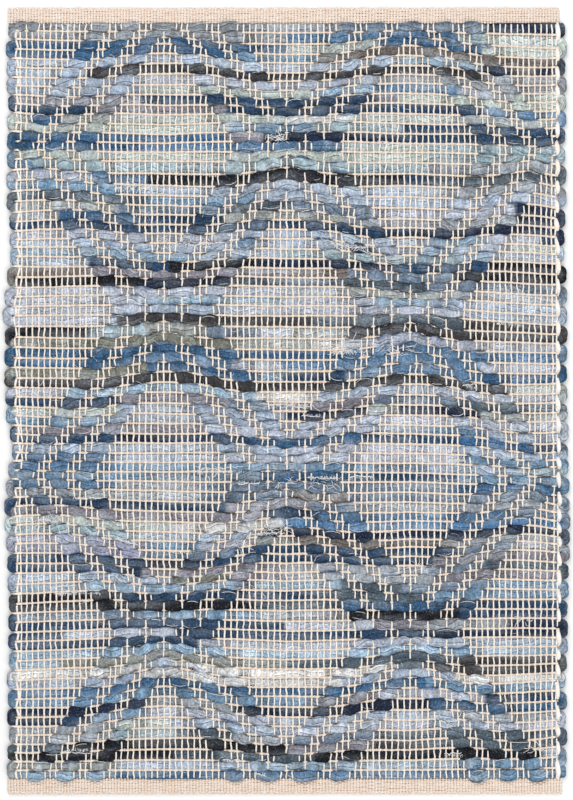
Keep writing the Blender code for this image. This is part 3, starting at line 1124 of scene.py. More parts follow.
        # Painted shade beside the warps and painted light between them, with a random tone for each cell
        cell = laid.centre[:, 0] / self.loom.warp_pitch
        swell = np.abs(np.sin(np.pi * cell))
        varied = np.random.default_rng(seed + 4).normal(0.0, self.cell_variety, len(along))
        plain = 1.0 - self.painted_warp_shade * (1.0 - swell) + (self.painted_cell_light + varied) * swell
        tone = tone * np.where(laid.form.rise > 0.0, 1.0, plain)
        # Painted shade in the crevices beside a strip, deeper beside a float
        edge = self.painted_edge_shade + (self.float_painted_edge_shade - self.painted_edge_shade) * laid.form.rise[:, None]
        level = tone[:, None] * (edge + (1.0 - edge) * crest)
        split = np.radians(90.0 + 40.0 * wander(along, 0.050, seed + 2))[:, None]
        side = 0.5 + 0.5 * np.tanh((angle - split) / np.radians(12.0))
        turned = np.clip(2.2 * wander(along, 0.060, seed + 3), -1.0, 1.0)[:, None]
        ahead, behind = np.clip(turned, 0.0, 1.0), np.clip(-turned, 0.0, 1.0)
        share = self.back_share * (side * ahead + (1.0 - side) * behind)
        light = laid.color @ LUMINANCE
        share = share * np.minimum(1.0, 0.25 + 2.2 * light)[:, None]
        pale = np.array(to_linear(self.back)[:3]) * self.dye
        color = laid.color[:, None, :] * (1.0 - share[:, :, None]) + pale * share[:, :, None]
        return self.bare_face(along, laid, color, seed) * level[:, :, None]

    def bare_face(self, along: np.ndarray, laid: LaidBand, color: np.ndarray, seed: int) -> np.ndarray:
        """Bare slivers of the indigo face along the edges of the pale strips."""
        angle = np.radians(np.array(self.section_deg))[None, :]
        light = laid.color @ LUMINANCE
        indigo = np.array(to_linear(self.face)[:3]) * self.dye
        for number, side in enumerate((-1.0, 1.0)):
            reach = np.radians(18.0 + 42.0 * wander(along, 0.021, seed + 8 + number))[:, None]
            past = side * (angle - np.pi / 2.0) - np.radians(78.0) + reach
            beyond = 0.5 + 0.5 * np.tanh(past / np.radians(7.0))
            share = self.face_share * beyond * (light > self.pale_from)[:, None] * laid.form.rise[:, None]
            color = color * (1.0 - share[:, :, None]) + indigo * share[:, :, None]
        return color

    def turn(self, row: int, heading: int, start: np.ndarray, draws: np.random.Generator) -> list[np.ndarray]:
        """Lay the turn from a row to the next one: two squarish lumps with a pinch between them.

        Args:
            row: Row of rag before the turn.
            heading: Side of the rug, -1 or +1.
            start: The strip's form where the turn starts.
            draws: Source of the turn's own size and colours.

        Returns:
            X, Y, the form and the colour of each of the turn's points, and its share of the turn.
        """
        loom = self.loom
        centre = self.turn_centre(row, heading)
        upper = loom.line_y(row + 0.5, centre)
        lower = loom.line_y(row + 1.5, centre)
        share = (np.arange(self.turn_points) + 1.0) / (self.turn_points + 1.0)
        angle = np.pi * share
        pinch = draws.uniform(0.1, 1.0) * np.exp(-(((share - draws.uniform(0.40, 0.60)) / 0.09) ** 2))
        looseness = self.turn_looseness[0 if heading < 0 else 1]
        reach = (upper - lower) / 2.0 + 0.0008 - looseness * draws.uniform(0.0, 0.0030)
        x = centre + heading * (reach * np.sin(angle) ** 0.5 - 0.0010 * pinch)
        off = (upper - lower) / 2.0 * np.sign(np.cos(angle)) * np.abs(np.cos(angle)) ** 0.72
        y = (upper + lower) / 2.0 + off
        corner = np.sin(2.0 * angle) ** 2
        weight = np.sin(angle) ** 0.5
        breadth = self.turn_breadth * (1.08 - looseness * draws.uniform(0.0, 0.24))
        breadth = breadth * (1.0 + self.turn_corner * corner)
        breadth = breadth * (1.0 - 0.12 * pinch)
        height = self.turn_height * draws.uniform(0.88, 1.12) * (1.0 - 0.38 * pinch)
        middle = np.full_like(share, self.plain_middle + 0.0003)
        zero = np.zeros_like(share)
        round_form = np.stack([middle, breadth, height, zero + 0.45, 0.5 * pinch, zero])
        form = start[:, None] * (1.0 - weight) + round_form * weight
        before = self.color_at(row, np.full(1, centre))
        after = self.color_at(row + 1, np.full(1, centre))
        change = draws.choice([0.06, 0.5, 0.94], p=(0.3, 0.4, 0.3))
        blend = ease((share - change) * 9.0 + 0.5)[:, None]
        return [x, y, form, before * (1.0 - blend) + after * blend, share]

    def folded_end(self, row: int, inner: np.ndarray) -> list[np.ndarray]:
        """Lay the folded end of the first or the last strip, at the right side.

        Args:
            row: The first or the last row of rag.
            inner: The strip's form where the end starts.

        Returns:
            X, Y, the form and the colour of each of the end's points, from the inside outward.
        """
        loom = self.loom
        start = self.turn_centre(row - 1 if row == 0 else row, 1)
        share = (np.arange(self.end_points) + 1.0) / self.end_points
        weight = ease(2.0 * share)
        x = start + (loom.side_x(row + 0.5, 1) - 0.0008 - start) * share
        drop = self.end_drop * weight * (-1.0 if row == 0 else 1.0)
        zero = np.zeros_like(share)
        breadth = self.end_breadth * (1.0 - 0.45 * share**5)
        height = self.turn_height * (1.0 - 0.5 * share**6)
        lump = np.stack([zero + self.plain_middle, breadth, height, zero + 0.45, zero, zero])
        form = inner[:, None] * (1.0 - weight) + lump * weight
        return [x, loom.line_y(row + 0.5, x) + drop, form, self.color_at(row, x)]

    def lay_band(self, rows: range) -> LaidBand:
        """Lay the strips of a band of rows, with the turns between them."""
        loom = self.loom
        draws = np.random.default_rng(700 + rows.start)
        xs, ys, forms, colors, lanes, shears = [], [], [], [], [], []
        shear = 0.0
        for row in rows:
            heading = 1 if row % 2 else -1
            left = self.turn_centre(row - 1 if heading > 0 else row, -1)
            right = self.turn_centre(row if heading > 0 else row - 1, 1)
            x = self.row_places(row, left, right)[::heading]
            form = self.form(row, x)
            y = loom.line_y(row + 0.5, x) + form.lean
            form = np.stack(form)
            color = self.color_at(row, x)
            if row == 0:
                end_x, end_y, end_form, end_color = self.folded_end(row, form[:, 0])
                x, y = np.concatenate([end_x[::-1], x]), np.concatenate([end_y[::-1], y])
                form = np.concatenate([end_form[:, ::-1], form], axis=1)
                color = np.concatenate([end_color[::-1], color])
            elif row == loom.rows - 1:
                end_x, end_y, end_form, end_color = self.folded_end(row, form[:, -1])
                x, y = np.concatenate([x, end_x]), np.concatenate([y, end_y])
                form = np.concatenate([form, end_form], axis=1)
                color = np.concatenate([color, end_color])
            xs.append(x)
            ys.append(y)
            forms.append(form)
            colors.append(color)
            lanes.append(np.full(len(x), row - rows.start))
            shears.append(np.full(len(x), shear))
            if row == loom.rows - 1:
                continue
            x, y, form, color, share = self.turn(row, heading, form[:, -1], draws)
            xs.append(x)
            ys.append(y)
            forms.append(form)
            colors.append(color)
            lanes.append(np.full(len(x), row - rows.start))
            slant = draws.choice([-0.012, 0.012])
            shears.append(shear + slant * share)
            shear += slant
        form = StripForm(*np.concatenate(forms, axis=1))
        centre_line = np.stack([np.concatenate(xs), np.concatenate(ys), form.middle], axis=1)
        joined = (np.concatenate(parts) for parts in (colors, lanes, shears))
        return LaidBand(centre_line, form, *joined)

    def build(self, material: bpy.types.Material) -> list[bpy.types.Object]:
        """Weave all the bands.

        Args:
            material: Finish of the strips.

        Returns:
            One object for each band.
        """
        made = []
        count = len(self.bands)
        limits = [round(self.loom.rows * part / count) for part in range(count + 1)]
        for number, name in enumerate(self.bands):
            laid = self.lay_band(range(limits[number], limits[number + 1]))
            steps = np.linalg.norm(np.diff(laid.centre, axis=0), axis=1)
            along = np.concatenate([[0.0], np.cumsum(steps)])
            across, up = self.sections(along, laid.form, 100 + 20 * number)
            sway = 0.0005 * wander(along, 0.030, 300 + number) + 0.0003 * wander(along, 0.011, 310 + number)
            centre = laid.centre + np.stack([np.zeros_like(sway), sway, np.zeros_like(sway)], axis=1)
            strands = StrandMesh(name, len(self.section_deg))
            color = self.tints(along, laid, 200 + 20 * number)
            strands.add(centre, across, up, color, laid.row, 0.66, self.grain(laid.shear))
            made.append(strands.build(material))
        return made


@dataclass
class CottonGround:
    """The cotton warps, the thin weft between the rows and the cords at the two sides."""

    loom: Loom
    rag: RagWeft
    warp_radius: float = 0.00086
    back_radius: float = 0.00050
    weft_radius: float = 0.00098
    flatness: float = 0.75               # height of a face warp, as a share of its breadth
    weft_shown: float = 0.0058           # height of the thin weft where warps carry it on both sides
    weft_hidden: float = 0.0030          # the same under a float
    weft_dip: float = 0.0009             # how far it sinks between two warps
    heading_height: float = 0.0024       # of a warp where it enters a heading
    under_rag: float = 0.0009
    press: float = 0.55                  # share of its radius by which a warp stands off the rag
    shoulder: float = 0.25               # where a warp leaves the groove, in row pitches
    push: float = 0.00050                # how far a float pushes the warp beside it
    sway: float = 0.00050
    slant: float = 0.00024               # how far a warp leans across one row
    node_swell: float = 0.65             # how much thicker the thin weft is over a warp
    node_variety: float = 0.20
    slub: float = 0.18                   # how much the warps' thickness varies
    left_cord_x: float = -0.2927
    left_fullness: float = 1.35
    left_zigzag: float = 0.0011          # how far the left side's extra end swings to each side
    right_end_x: float = 0.2935
    right_cord_x: float = 0.2952
    right_cord_radius: float = 0.0023
    shows: np.ndarray = field(init=False)
    crests: np.ndarray = field(init=False)
    weft_heights: np.ndarray = field(init=False)

    def __post_init__(self) -> None:
        """Work out where each warp shows, how high it lies, and how high the thin weft does."""
        loom = self.loom
        shows = [[not loom.floats(row, warp) for warp in loom.warps] for row in range(loom.rows)]
        self.shows = np.array(shows)
        places = np.array(loom.warps) * loom.warp_pitch
        self.crests = np.stack([self.rag.top(row, places) for row in range(loom.rows)])
        both = self.shows[:-1] & self.shows[1:]
        edge = np.full((1, len(loom.warps)), True)
        shown = np.concatenate([edge, both, edge])
        self.weft_heights = np.where(shown, self.weft_shown, self.weft_hidden)

    def warp_path(self, x: float, warp: int, seed: int) -> tuple[np.ndarray, np.ndarray]:
        """Lay one face warp from heading to heading.

        Args:
            x: Its place across the rug.
            warp: Number of the face warp whose draft it follows.
            seed: Seed of its sideways sway.

        Returns:
            Its centre line, and its brightness at each point, with painted shade where it dips into the
            grooves.
        """
        loom = self.loom
        column = warp + loom.warps_each_side
        shows = self.shows[:, column]
        dips = self.weft_heights[:, column] - 0.95 * (self.weft_radius + self.warp_radius)
        dips[0] = dips[-1] = self.heading_height
        slants = np.random.default_rng(3000 + seed).normal(0.0, self.slant, loom.rows)
        downs, heights, pushes, levels = [], [], [], []
        for row in range(loom.rows):
            crest = self.crests[row, column] + self.press * self.warp_radius
            height = crest if shows[row] else self.under_rag
            push = self.push * (float(loom.floats(row, warp - 1)) - float(loom.floats(row, warp + 1)))
            downs += [row, row + self.shoulder, row + 1.0 - self.shoulder]
            heights += [dips[row], height, height]
            slant = slants[row]
            pushes += [0.0, push - slant, push + slant]
            # Painted shade: the warp is dimmer where it dips into the groove between two rows
            levels += [0.80, 1.0, 1.0]
        downs = np.array([*downs, loom.rows], dtype=float)
        heights = np.array([*heights, dips[-1]])
        along = downs * loom.row_pitch
        places = x + np.array([*pushes, 0.0]) + self.sway * wander(along, 0.032, seed)
        places = places + 0.5 * self.sway * wander(along, 0.007, seed + 2000)
        return np.stack([places, loom.line_y(downs, x), heights], axis=1), gray([*levels, 0.8])

    def add_warp(
        self, strands: StrandMesh, centre: np.ndarray, level: np.ndarray, fullness: float = 1.0
    ) -> None:
        """Sweep a face warp, a little flattened by the tension."""
        slubs = 1.0 + self.slub * wander(np.arange(len(centre)) / 3.0, 1.1, 4000 + len(strands.points))
        across, up = round_section(len(centre), self.warp_radius * fullness * slubs, strands.sides, turn=0.3)
        strands.add(centre, across, up * self.flatness, level)

    def build_face_warps(self, material: bpy.types.Material) -> list[bpy.types.Object]:
        """Make the face warps, in a left and a right half, with the left side's extra end."""
        loom = self.loom
        made = []
        halves = {
            "face_warps_left": [warp for warp in loom.warps if warp < 0],
            "face_warps_right": [warp for warp in loom.warps if warp >= 0],
        }
        for name, warps in halves.items():
            strands = StrandMesh(name, 5)
            for warp in warps:
                centre, level = self.warp_path(warp * loom.warp_pitch, warp, 500 + warp)
                if abs(warp) == loom.warps_each_side:
                    centre[:, 0] += self.side_shift(loom, centre[:, 1], int(math.copysign(1, warp)))
                self.add_warp(strands, centre, level)
            side = -1 if warps[0] < 0 else 1
            end_x = self.left_cord_x if side < 0 else self.right_end_x
            centre, level = self.warp_path(end_x, warps[1] if side < 0 else warps[-2], 450 + side)
            centre[:, 0] += self.side_shift(loom, centre[:, 1], side)
            if side < 0:
                turns = np.arange(len(centre)) / 3.0
                centre[:, 0] += self.left_zigzag * np.sin(np.pi * turns + wander(turns, 3.0, 79))
            self.add_warp(strands, centre, level, self.left_fullness if side < 0 else 1.0)
            made.append(strands.build(material))
        return made

    @staticmethod
    def side_shift(loom: Loom, y: np.ndarray, side: int) -> np.ndarray:
        """How far a cord at a side follows the side's drift, at places along the rug."""
        rows_down = loom.rows * (0.5 - y / loom.field_length)
        tips = np.array([loom.side_x(float(down), side) for down in rows_down])
        return 0.5 * (tips - side * loom.half_width)

    def build_back_warps(self, material: bpy.types.Material) -> bpy.types.Object:
        """Make the back warps, which pass under every row of rag and over the thin weft."""
        loom = self.loom
        strands = StrandMesh("back_warps", 3)
        downs = np.arange(2 * loom.rows + 1) / 2.0
        for warp in list(loom.warps)[:-1]:
            x = (warp + 0.5) * loom.warp_pitch
            column = warp + loom.warps_each_side
            nodes = np.minimum(self.weft_heights[:, column], self.weft_heights[:, column + 1])
            heights = np.full(len(downs), self.under_rag)
            heights[::2] = nodes + 0.5 * self.weft_radius
            heights[[0, -1]] = self.heading_height
            centre = np.stack([np.full(len(downs), x), loom.line_y(downs, x), heights], axis=1)
            section = round_section(len(centre), self.back_radius, 3)
            strands.add(centre, *section, gray(np.full(len(downs), 0.9)))
        return strands.build(material)

    def build_thin_weft(self, material: bpy.types.Material) -> bpy.types.Object:
        """Make the thin weft: one pick between every two rows, over the face warps."""
        loom = self.loom
        strands = StrandMesh("thin_weft", 5)
        draws = np.random.default_rng(33)
        inner = np.arange(-2 * loom.warps_each_side, 2 * loom.warps_each_side + 1) / 2.0
        on_warp = inner == np.round(inner)
        for pick in range(1, loom.rows):
            nodes = self.weft_heights[pick]
            z = np.empty(len(inner))
            z[::2] = nodes
            low, high = np.minimum(nodes[:-1], nodes[1:]), np.maximum(nodes[:-1], nodes[1:])
            z[1::2] = low + 0.25 * (high - low) - self.weft_dip
            fluff = 1.0 + np.where(on_warp, self.node_swell, -0.06)
            fluff = fluff + draws.uniform(-self.node_variety, self.node_variety, len(inner))
            # Painted shade: the pick is dimmer between the warps, where it sinks, with a random tone
            level = np.where(on_warp, 1.0, 0.80) + draws.uniform(-0.06, 0.0, len(inner))
            tips = {-1: 0.0072 + draws.uniform(-0.0014, 0.0012), 1: 0.0045 + draws.uniform(0.0, 0.0016)}
            # A pick goes round the side in the gap between two turns of the rag
            tips[-1 if pick % 2 == 0 else 1] += draws.uniform(0.0004, 0.0044)
            x = inner * loom.warp_pitch
            ends = {side: x[0 if side < 0 else -1] + side * reach for side, reach in tips.items()}
            x = np.concatenate([[ends[-1], (ends[-1] + x[0]) / 2], x, [(x[-1] + ends[1]) / 2, ends[1]]])
            z = np.concatenate([[0.0042, 0.0066], z, [0.0060, 0.0036]])
            fluff = np.concatenate([[0.9, 1.3], fluff, [1.2, 0.9]])
            # Painted shade: dimmer at the pick's two tips, where it goes down round the sides
            level = np.concatenate([[0.85, 1.0], level, [0.95, 0.85]])
            y = loom.line_y(float(pick), x) + 0.00026 * wander(x, 0.008, 900 + pick)
            centre = np.stack([x, y, z], axis=1)
            strands.add(centre, *round_section(len(centre), self.weft_radius * fluff, 5), gray(level))
        return strands.build(material)

    def build_right_cord(self, material: bpy.types.Material) -> bpy.types.Object:
        """Make the thick cord inside the right-hand turns, over one row of rag and under the next."""
        loom = self.loom
        strands = StrandMesh("right_cord", 8)
        downs = np.arange(8 * loom.rows + 1) / 8.0
        phase = downs + 0.42 * wander(downs, 3.0, 76)
        swing = np.sin(np.pi * (phase - 0.5))
        slant = np.cos(np.pi * (phase - 0.5))
        heights = 0.0052 + 0.0026 * np.clip(swing + 0.15, -1.0, 0.7)
        radius = self.right_cord_radius * (0.86 + 0.20 * swing + 0.20 * wander(downs, 1.3, 78))
        x = self.right_cord_x - 0.0005 * slant + 0.0007 * wander(downs, 1.7, 77)
        y = loom.line_y(downs, self.right_cord_x)
        centre = np.stack([x + self.side_shift(loom, y, 1), y, heights], axis=1)
        # Painted shade: the cord is dimmer where it dips under a row
        strands.add(centre, *round_section(len(centre), radius, 8), gray(0.94 + 0.06 * swing))
        return strands.build(material)


@dataclass
class Heading:
    """A band of close plain weave in cotton, turned under at its outer edge."""

    loom: Loom
    name: str
    node: str
    end: int                             # +1 at the top, -1 at the bottom
    left: float
    right: float
    length: float = 0.0158
    picks: int = 9
    thickness: float = 0.0040
    warp_radius: float = 0.00100
    weft_radius: float = 0.00084
    rise: float = 0.00090
    fuzz: int = 400                      # short hairs that stand out from the outer edge
    fuzz_radius: float = 0.00022
    pick_level: float = 0.94             # brightness of the picks beside that of the ends
    push: float = 0.0014

    def painted_shade_by_height(self, z: np.ndarray, draws: np.random.Generator) -> np.ndarray:
        """Colour of yarn at the given heights, with painted shade: bright on top, dull and warmer in the
        gaps, and a random tone.
        """
        middle = self.thickness - self.warp_radius - self.rise
        level = 0.58 + 0.42 * ease((z - middle + self.rise) / (2.0 * self.rise))
        level = level * draws.uniform(0.86, 1.0, len(z))
        return np.stack([level**0.35, level**0.85, level**1.25], axis=1)

    def bulge(self, x: np.ndarray) -> np.ndarray:
        """How far the floats of the last row push the lower heading down, at places across the rug."""
        out = np.zeros_like(x)
        if self.end < 0:
            for start, stop in self.loom.float_spans(self.loom.rows - 1):
                out = out + self.push * np.sin(np.pi * np.clip((x - start) / (stop - start), 0.0, 1.0))
        return out

    def build(self, material: bpy.types.Material) -> bpy.types.Object:
        """Weave the heading.

        Args:
            material: Finish of the yarn.

        Returns:
            The heading's object.
        """
        strands = StrandMesh(self.name, 6)
        sett = self.loom.warp_pitch / 2.0
        inner = self.end * self.loom.field_length / 2.0
        pick_pitch = self.length / self.picks
        middle = self.thickness - self.warp_radius - self.rise
        first = math.ceil(self.left / sett)
        last = math.floor(self.right / sett)
        ends = np.arange(first, last + 1)
        draws = np.random.default_rng(40 + self.end)
        for pick in range(self.picks):
            swing = np.where((ends + pick) % 2, 1.0, -1.0)
            x = ends * sett
            y = inner + self.end * pick_pitch * (pick + 0.5) + 0.00045 * wander(x, 0.007, 60 + pick)
            y = y + self.end * self.bulge(x) * (1.0 - pick / self.picks) ** 2
            z = middle + self.rise * swing
            level = self.pick_level * self.painted_shade_by_height(z, draws)
            x = np.concatenate([[x[0] - 0.0012], x, [x[-1] + 0.0012]])
            y = np.concatenate([[y[0]], y, [y[-1]]])
            z = np.concatenate([[middle - 0.001], z, [middle - 0.001]])
            level = np.concatenate([level[:1], level, level[-1:]])
            centre = np.stack([x, y, z], axis=1)
            strands.add(centre, *round_section(len(centre), self.weft_radius, 6), level)
        edge = self.length + 0.0004 * wander(ends * sett, 0.011, 90 + self.end)
        for number, end in enumerate(ends):
            picks = np.arange(-1, self.picks)
            swing = np.where((end + picks) % 2, -1.0, 1.0)
            y = inner + self.end * pick_pitch * (picks + 0.5)
            z = middle + self.rise * swing
            reach = edge[number] + draws.uniform(-0.0003, 0.0003)
            turned = inner + self.end * np.array([reach, reach - 0.0009])
            y = np.concatenate([y, turned])
            z = np.concatenate([z, [middle - 0.0008, 0.0009]])
            x = np.full(len(y), end * sett) + draws.uniform(-0.00028, 0.00028, len(y))
            centre = np.stack([x, y, z], axis=1)
            level = self.painted_shade_by_height(z, draws)
            strands.add(centre, *round_section(len(centre), self.warp_radius, 6), level)
        for _ in range(self.fuzz):
            x = draws.uniform(ends[0], ends[-1]) * sett
            out = self.length + draws.uniform(-0.0010, 0.0001)
            lean, rise = draws.normal(0.0, 0.0008), draws.uniform(0.0004, 0.0014)
            x = np.array([x, x + 0.5 * lean, x + lean])
            y = inner + self.end * (out + rise * np.array([0.0, 0.6, 1.0]))
            z = draws.uniform(0.0010, self.thickness) * np.array([1.0, 1.1, 1.1])
            hair = round_section(3, self.fuzz_radius, 6)
            strands.add(np.stack([x, y, z], axis=1), *hair, gray(np.ones(3)))
        return strands.build(material)


class Tuft(NamedTuple):
    """A place where a strip's torn edge sheds its threads."""

    row: float               # rows down from the top heading
    x: float                 # metres right of the middle
    spread: float            # metres, half the breadth
    threads: int


class Fringe(NamedTuple):
    """A stretch of a strip's torn edge whose short white threads stand out like a comb."""

    rows_down: float         # from the top heading
    x: float                 # metres right of the middle
    spread: float            # metres, half the length


class LooseThread(NamedTuple):
    """One thread that lies on the face."""

    path: np.ndarray         # X and Y of its points
    tone: int                # its place among the tones, from the palest
    radius: float
    lift: float              # above the rags


@dataclass
class LooseThreads:
    """Torn denim threads that stray over the face, in fringes, in tufts and one by one."""

    rag: RagWeft
    seed: int = 5
    sides: int = 3                       # points of a section
    fringes: tuple[Fringe, ...] = (
        Fringe(17.9, -0.135, 0.012),
        Fringe(23.2, -0.081, 0.024),
        Fringe(23.3, 0.066, 0.020),
        Fringe(31.2, 0.240, 0.014),
        Fringe(34.3, 0.060, 0.012),
        Fringe(37.3, 0.264, 0.008),
        Fringe(37.6, 0.196, 0.008),
        Fringe(39.3, 0.004, 0.022),
        Fringe(40.4, 0.026, 0.010),
        Fringe(41.8, 0.241, 0.006),
        Fringe(45.6, 0.183, 0.010),
        Fringe(47.0, -0.070, 0.025),
        Fringe(47.6, 0.037, 0.016),
        Fringe(47.6, 0.079, 0.014),
        Fringe(48.1, -0.040, 0.012),
        Fringe(49.8, -0.206, 0.008),
        Fringe(50.0, -0.2245, 0.006),
        Fringe(52.6, -0.258, 0.012),
        Fringe(53.7, -0.076, 0.010),
        Fringe(53.7, -0.024, 0.018),
        Fringe(55.1, -0.113, 0.012),
        Fringe(54.1, -0.172, 0.014),
        Fringe(58.2, -0.163, 0.007),
        Fringe(59.4, -0.238, 0.011),
        Fringe(60.2, -0.226, 0.026),
        Fringe(76.8, -0.225, 0.016),
        Fringe(77.6, 0.178, 0.010),
        Fringe(77.9, -0.059, 0.009),
        Fringe(79.4, -0.027, 0.006),
    )
    fringe_pitch: float = 0.0007         # between two threads of a fringe
    fringe_length: float = 0.0026
    fringe_lengths: tuple[float, float] = (0.5, 1.3)     # of the shortest and the longest, as shares
    fringe_places: tuple[float, ...] = (-0.3, 0.2, 0.7)  # of a thread's points, as shares of its length
    fringe_stray: float = 0.05           # rows by which the thread along it strays at each point
    fringe_root_stray: float = 0.07      # rows
    fringe_lean: float = 0.45            # radians
    core_radius: float = 0.00048         # of the thread that lies along a fringe
    tufts: tuple[Tuft, ...] = (
        Tuft(12.0, -0.008, 0.008, 30),
        Tuft(16.8, -0.167, 0.012, 34),
        Tuft(22.6, -0.108, 0.028, 44),
        Tuft(22.8, 0.064, 0.026, 44),
        Tuft(23.6, 0.118, 0.014, 20),
        Tuft(33.3, 0.059, 0.011, 70),
        Tuft(34.0, 0.109, 0.024, 26),
        Tuft(38.7, 0.004, 0.022, 44),
        Tuft(36.0, -0.018, 0.006, 8),
        Tuft(46.4, -0.077, 0.020, 24),
        Tuft(47.6, 0.022, 0.034, 36),
        Tuft(52.6, -0.015, 0.018, 40),
        Tuft(37.3, 0.263, 0.007, 40),
        Tuft(52.2, -0.244, 0.026, 34),
        Tuft(17.6, 0.253, 0.008, 10),
        Tuft(54.2, -0.049, 0.014, 20),
        Tuft(56.6, 0.142, 0.006, 16),
        Tuft(59.4, -0.025, 0.004, 10),
        Tuft(62.6, 0.257, 0.005, 10),
        Tuft(73.8, 0.175, 0.014, 18),
        Tuft(76.4, 0.277, 0.014, 20),
        Tuft(73.2, -0.089, 0.010, 14),
    )
    tuft_radius: float = 0.00032
    tuft_row_stray: float = 0.22         # rows
    tuft_curl: float = 0.36              # radians from one point to the next
    tuft_odds: tuple[float, ...] = (0.8, 0.15, 0.05)     # of each tone, from the palest
    strays: int = 300
    stray_radius: float = 0.00024
    stray_curl: float = 0.30
    stray_odds: tuple[float, ...] = (0.4, 0.25, 0.2, 0.15)
    torn_edges: int = 70
    torn_edge_points: tuple[int, int] = (6, 17)
    torn_edge_row: float = 0.13          # rows from the thin weft
    torn_edge_stray: float = 0.025       # rows
    torn_edge_odds: tuple[float, ...] = (0.7, 0.3)
    torn_floats: float = 0.17            # share of the floats with a torn white edge
    torn_points: int = 8
    torn_start: tuple[float, float] = (0.0, 0.35)        # share of the float where the edge starts
    torn_end: tuple[float, float] = (0.65, 1.0)
    torn_off: tuple[float, float] = (0.30, 0.50)         # rows from the float's middle
    torn_power: float = 0.6              # under 1: it keeps to the float's edge nearly to the end
    edge_radius: float = 0.00030
    step: float = 0.0016                 # between two points of a thread
    curled_points: tuple[int, int] = (4, 9)
    curled_spread: float = 0.30          # radians from the row's direction
    fullness: tuple[float, float] = (0.8, 1.25)          # of the thinnest and the thickest thread
    tips: tuple[float, float] = (0.5, 0.4)               # thickness at a thread's two tips
    lift: float = 0.0004                 # above the rags
    fringe_lift: float = 0.0013          # the same for a fringe, which lies over the warps
    height_variety: float = 0.0004
    lowest: float = 0.0052
    edge_gap: float = 0.012              # kept clear at the sides
    tones: tuple[str, ...] = ("FFFFFF", "F2F4F6", "C6D3E0", "3A4760")

    def float_edges(self, draws: np.random.Generator) -> Iterator[LooseThread]:
        """Run a torn white edge along some of the floats.

        Args:
            draws: Source of the edges' places.

        Yields:
            The edges.
        """
        loom = self.rag.loom
        for row in range(loom.rows):
            for left, right in loom.float_spans(row):
                if draws.random() > self.torn_floats:
                    continue
                start, end = draws.uniform(*self.torn_start), draws.uniform(*self.torn_end)
                share = np.linspace(start, end, self.torn_points)
                x = left + (right - left) * share
                off = draws.choice([-1.0, 1.0]) * draws.uniform(*self.torn_off)
                off = off * np.sin(np.pi * share) ** self.torn_power
                y = loom.line_y(row + 0.5, x) + off * loom.row_pitch
                yield LooseThread(np.stack([x, y], axis=1), 0, self.edge_radius, self.lift)

    def fringe_threads(self, draws: np.random.Generator) -> Iterator[LooseThread]:
        """Lay each fringe: one thread along it, and short ones that stand out from it.

        Args:
            draws: Source of the threads' places.

        Yields:
            The threads.
        """
        loom = self.rag.loom
        for fringe in self.fringes:
            x = fringe.x + np.arange(-fringe.spread, fringe.spread, self.step)
            stray = self.fringe_stray * np.cumsum(draws.normal(0.0, 1.0, len(x)))
            along = np.stack([x, loom.line_y(fringe.rows_down + stray, x)], axis=1)
            yield LooseThread(along, 0, self.core_radius, self.fringe_lift)
            side = draws.choice([-1.0, 1.0])
            for _ in range(round(2.0 * fringe.spread / self.fringe_pitch)):
                root = fringe.x + fringe.spread * draws.uniform(-1.0, 1.0)
                rows_down = fringe.rows_down + draws.normal(0.0, self.fringe_root_stray)
                y = float(loom.line_y(rows_down, root))
                lean = draws.normal(0.0, self.fringe_lean)
                length = self.fringe_length * draws.uniform(*self.fringe_lengths)
                reach = length * np.array(self.fringe_places)
                hair = np.stack([root + reach * np.sin(lean), y + side * reach * np.cos(lean)], axis=1)
                yield LooseThread(hair, 0, self.edge_radius, self.fringe_lift)

    def strip_edges(self, draws: np.random.Generator) -> Iterator[LooseThread]:
        """Run torn edges along the strips, beside the thin weft.

        Args:
            draws: Source of the edges' places.

        Yields:
            The edges.
        """
        loom = self.rag.loom
        reach = loom.half_width - 2.0 * self.edge_gap
        for _ in range(self.torn_edges):
            start = draws.uniform(-reach, reach)
            row = draws.integers(1, loom.rows)
            rows_down = row + draws.choice([-self.torn_edge_row, self.torn_edge_row])
            count = draws.integers(*self.torn_edge_points)
            x = start + self.step * np.arange(count)
            stray = self.torn_edge_stray * np.cumsum(draws.normal(0.0, 1.0, count))
            edge = np.stack([x, loom.line_y(rows_down + stray, x)], axis=1)
            tone = draws.choice(len(self.torn_edge_odds), p=self.torn_edge_odds)
            yield LooseThread(edge, tone, self.edge_radius, self.lift)

    def curled(
        self, draws: np.random.Generator, x: float, rows_down: float, curl: float
    ) -> np.ndarray:
        """Lay one curling thread.

        Args:
            draws: Source of its length and its curl.
            x: Place across the rug where it starts.
            rows_down: Rows from the top heading where it starts.
            curl: How much it turns from one point to the next, in radians.

        Returns:
            X and Y of its points.
        """
        loom = self.rag.loom
        count = draws.integers(*self.curled_points)
        heading = draws.choice([0.0, np.pi]) + draws.normal(0.0, self.curled_spread)
        headings = heading + np.cumsum(draws.normal(0.0, curl, count))
        across = x + self.step * np.cumsum(np.cos(headings))
        down = float(loom.line_y(rows_down, x)) + self.step * np.cumsum(np.sin(headings))
        limit = loom.half_width - self.edge_gap
        return np.stack([np.clip(across, -limit, limit), down], axis=1)

    def tuft_threads(self, draws: np.random.Generator) -> Iterator[LooseThread]:
        """Curl the threads of the tufts.

        Args:
            draws: Source of the threads' places and tones.

        Yields:
            The threads.
        """
        for tuft in self.tufts:
            for _ in range(tuft.threads):
                x = tuft.x + tuft.spread * draws.uniform(-1.0, 1.0)
                rows_down = tuft.row + 0.5 + draws.normal(0.0, self.tuft_row_stray)
                path = self.curled(draws, x, rows_down, self.tuft_curl)
                tone = draws.choice(len(self.tuft_odds), p=self.tuft_odds)
                yield LooseThread(path, tone, self.tuft_radius, self.lift)

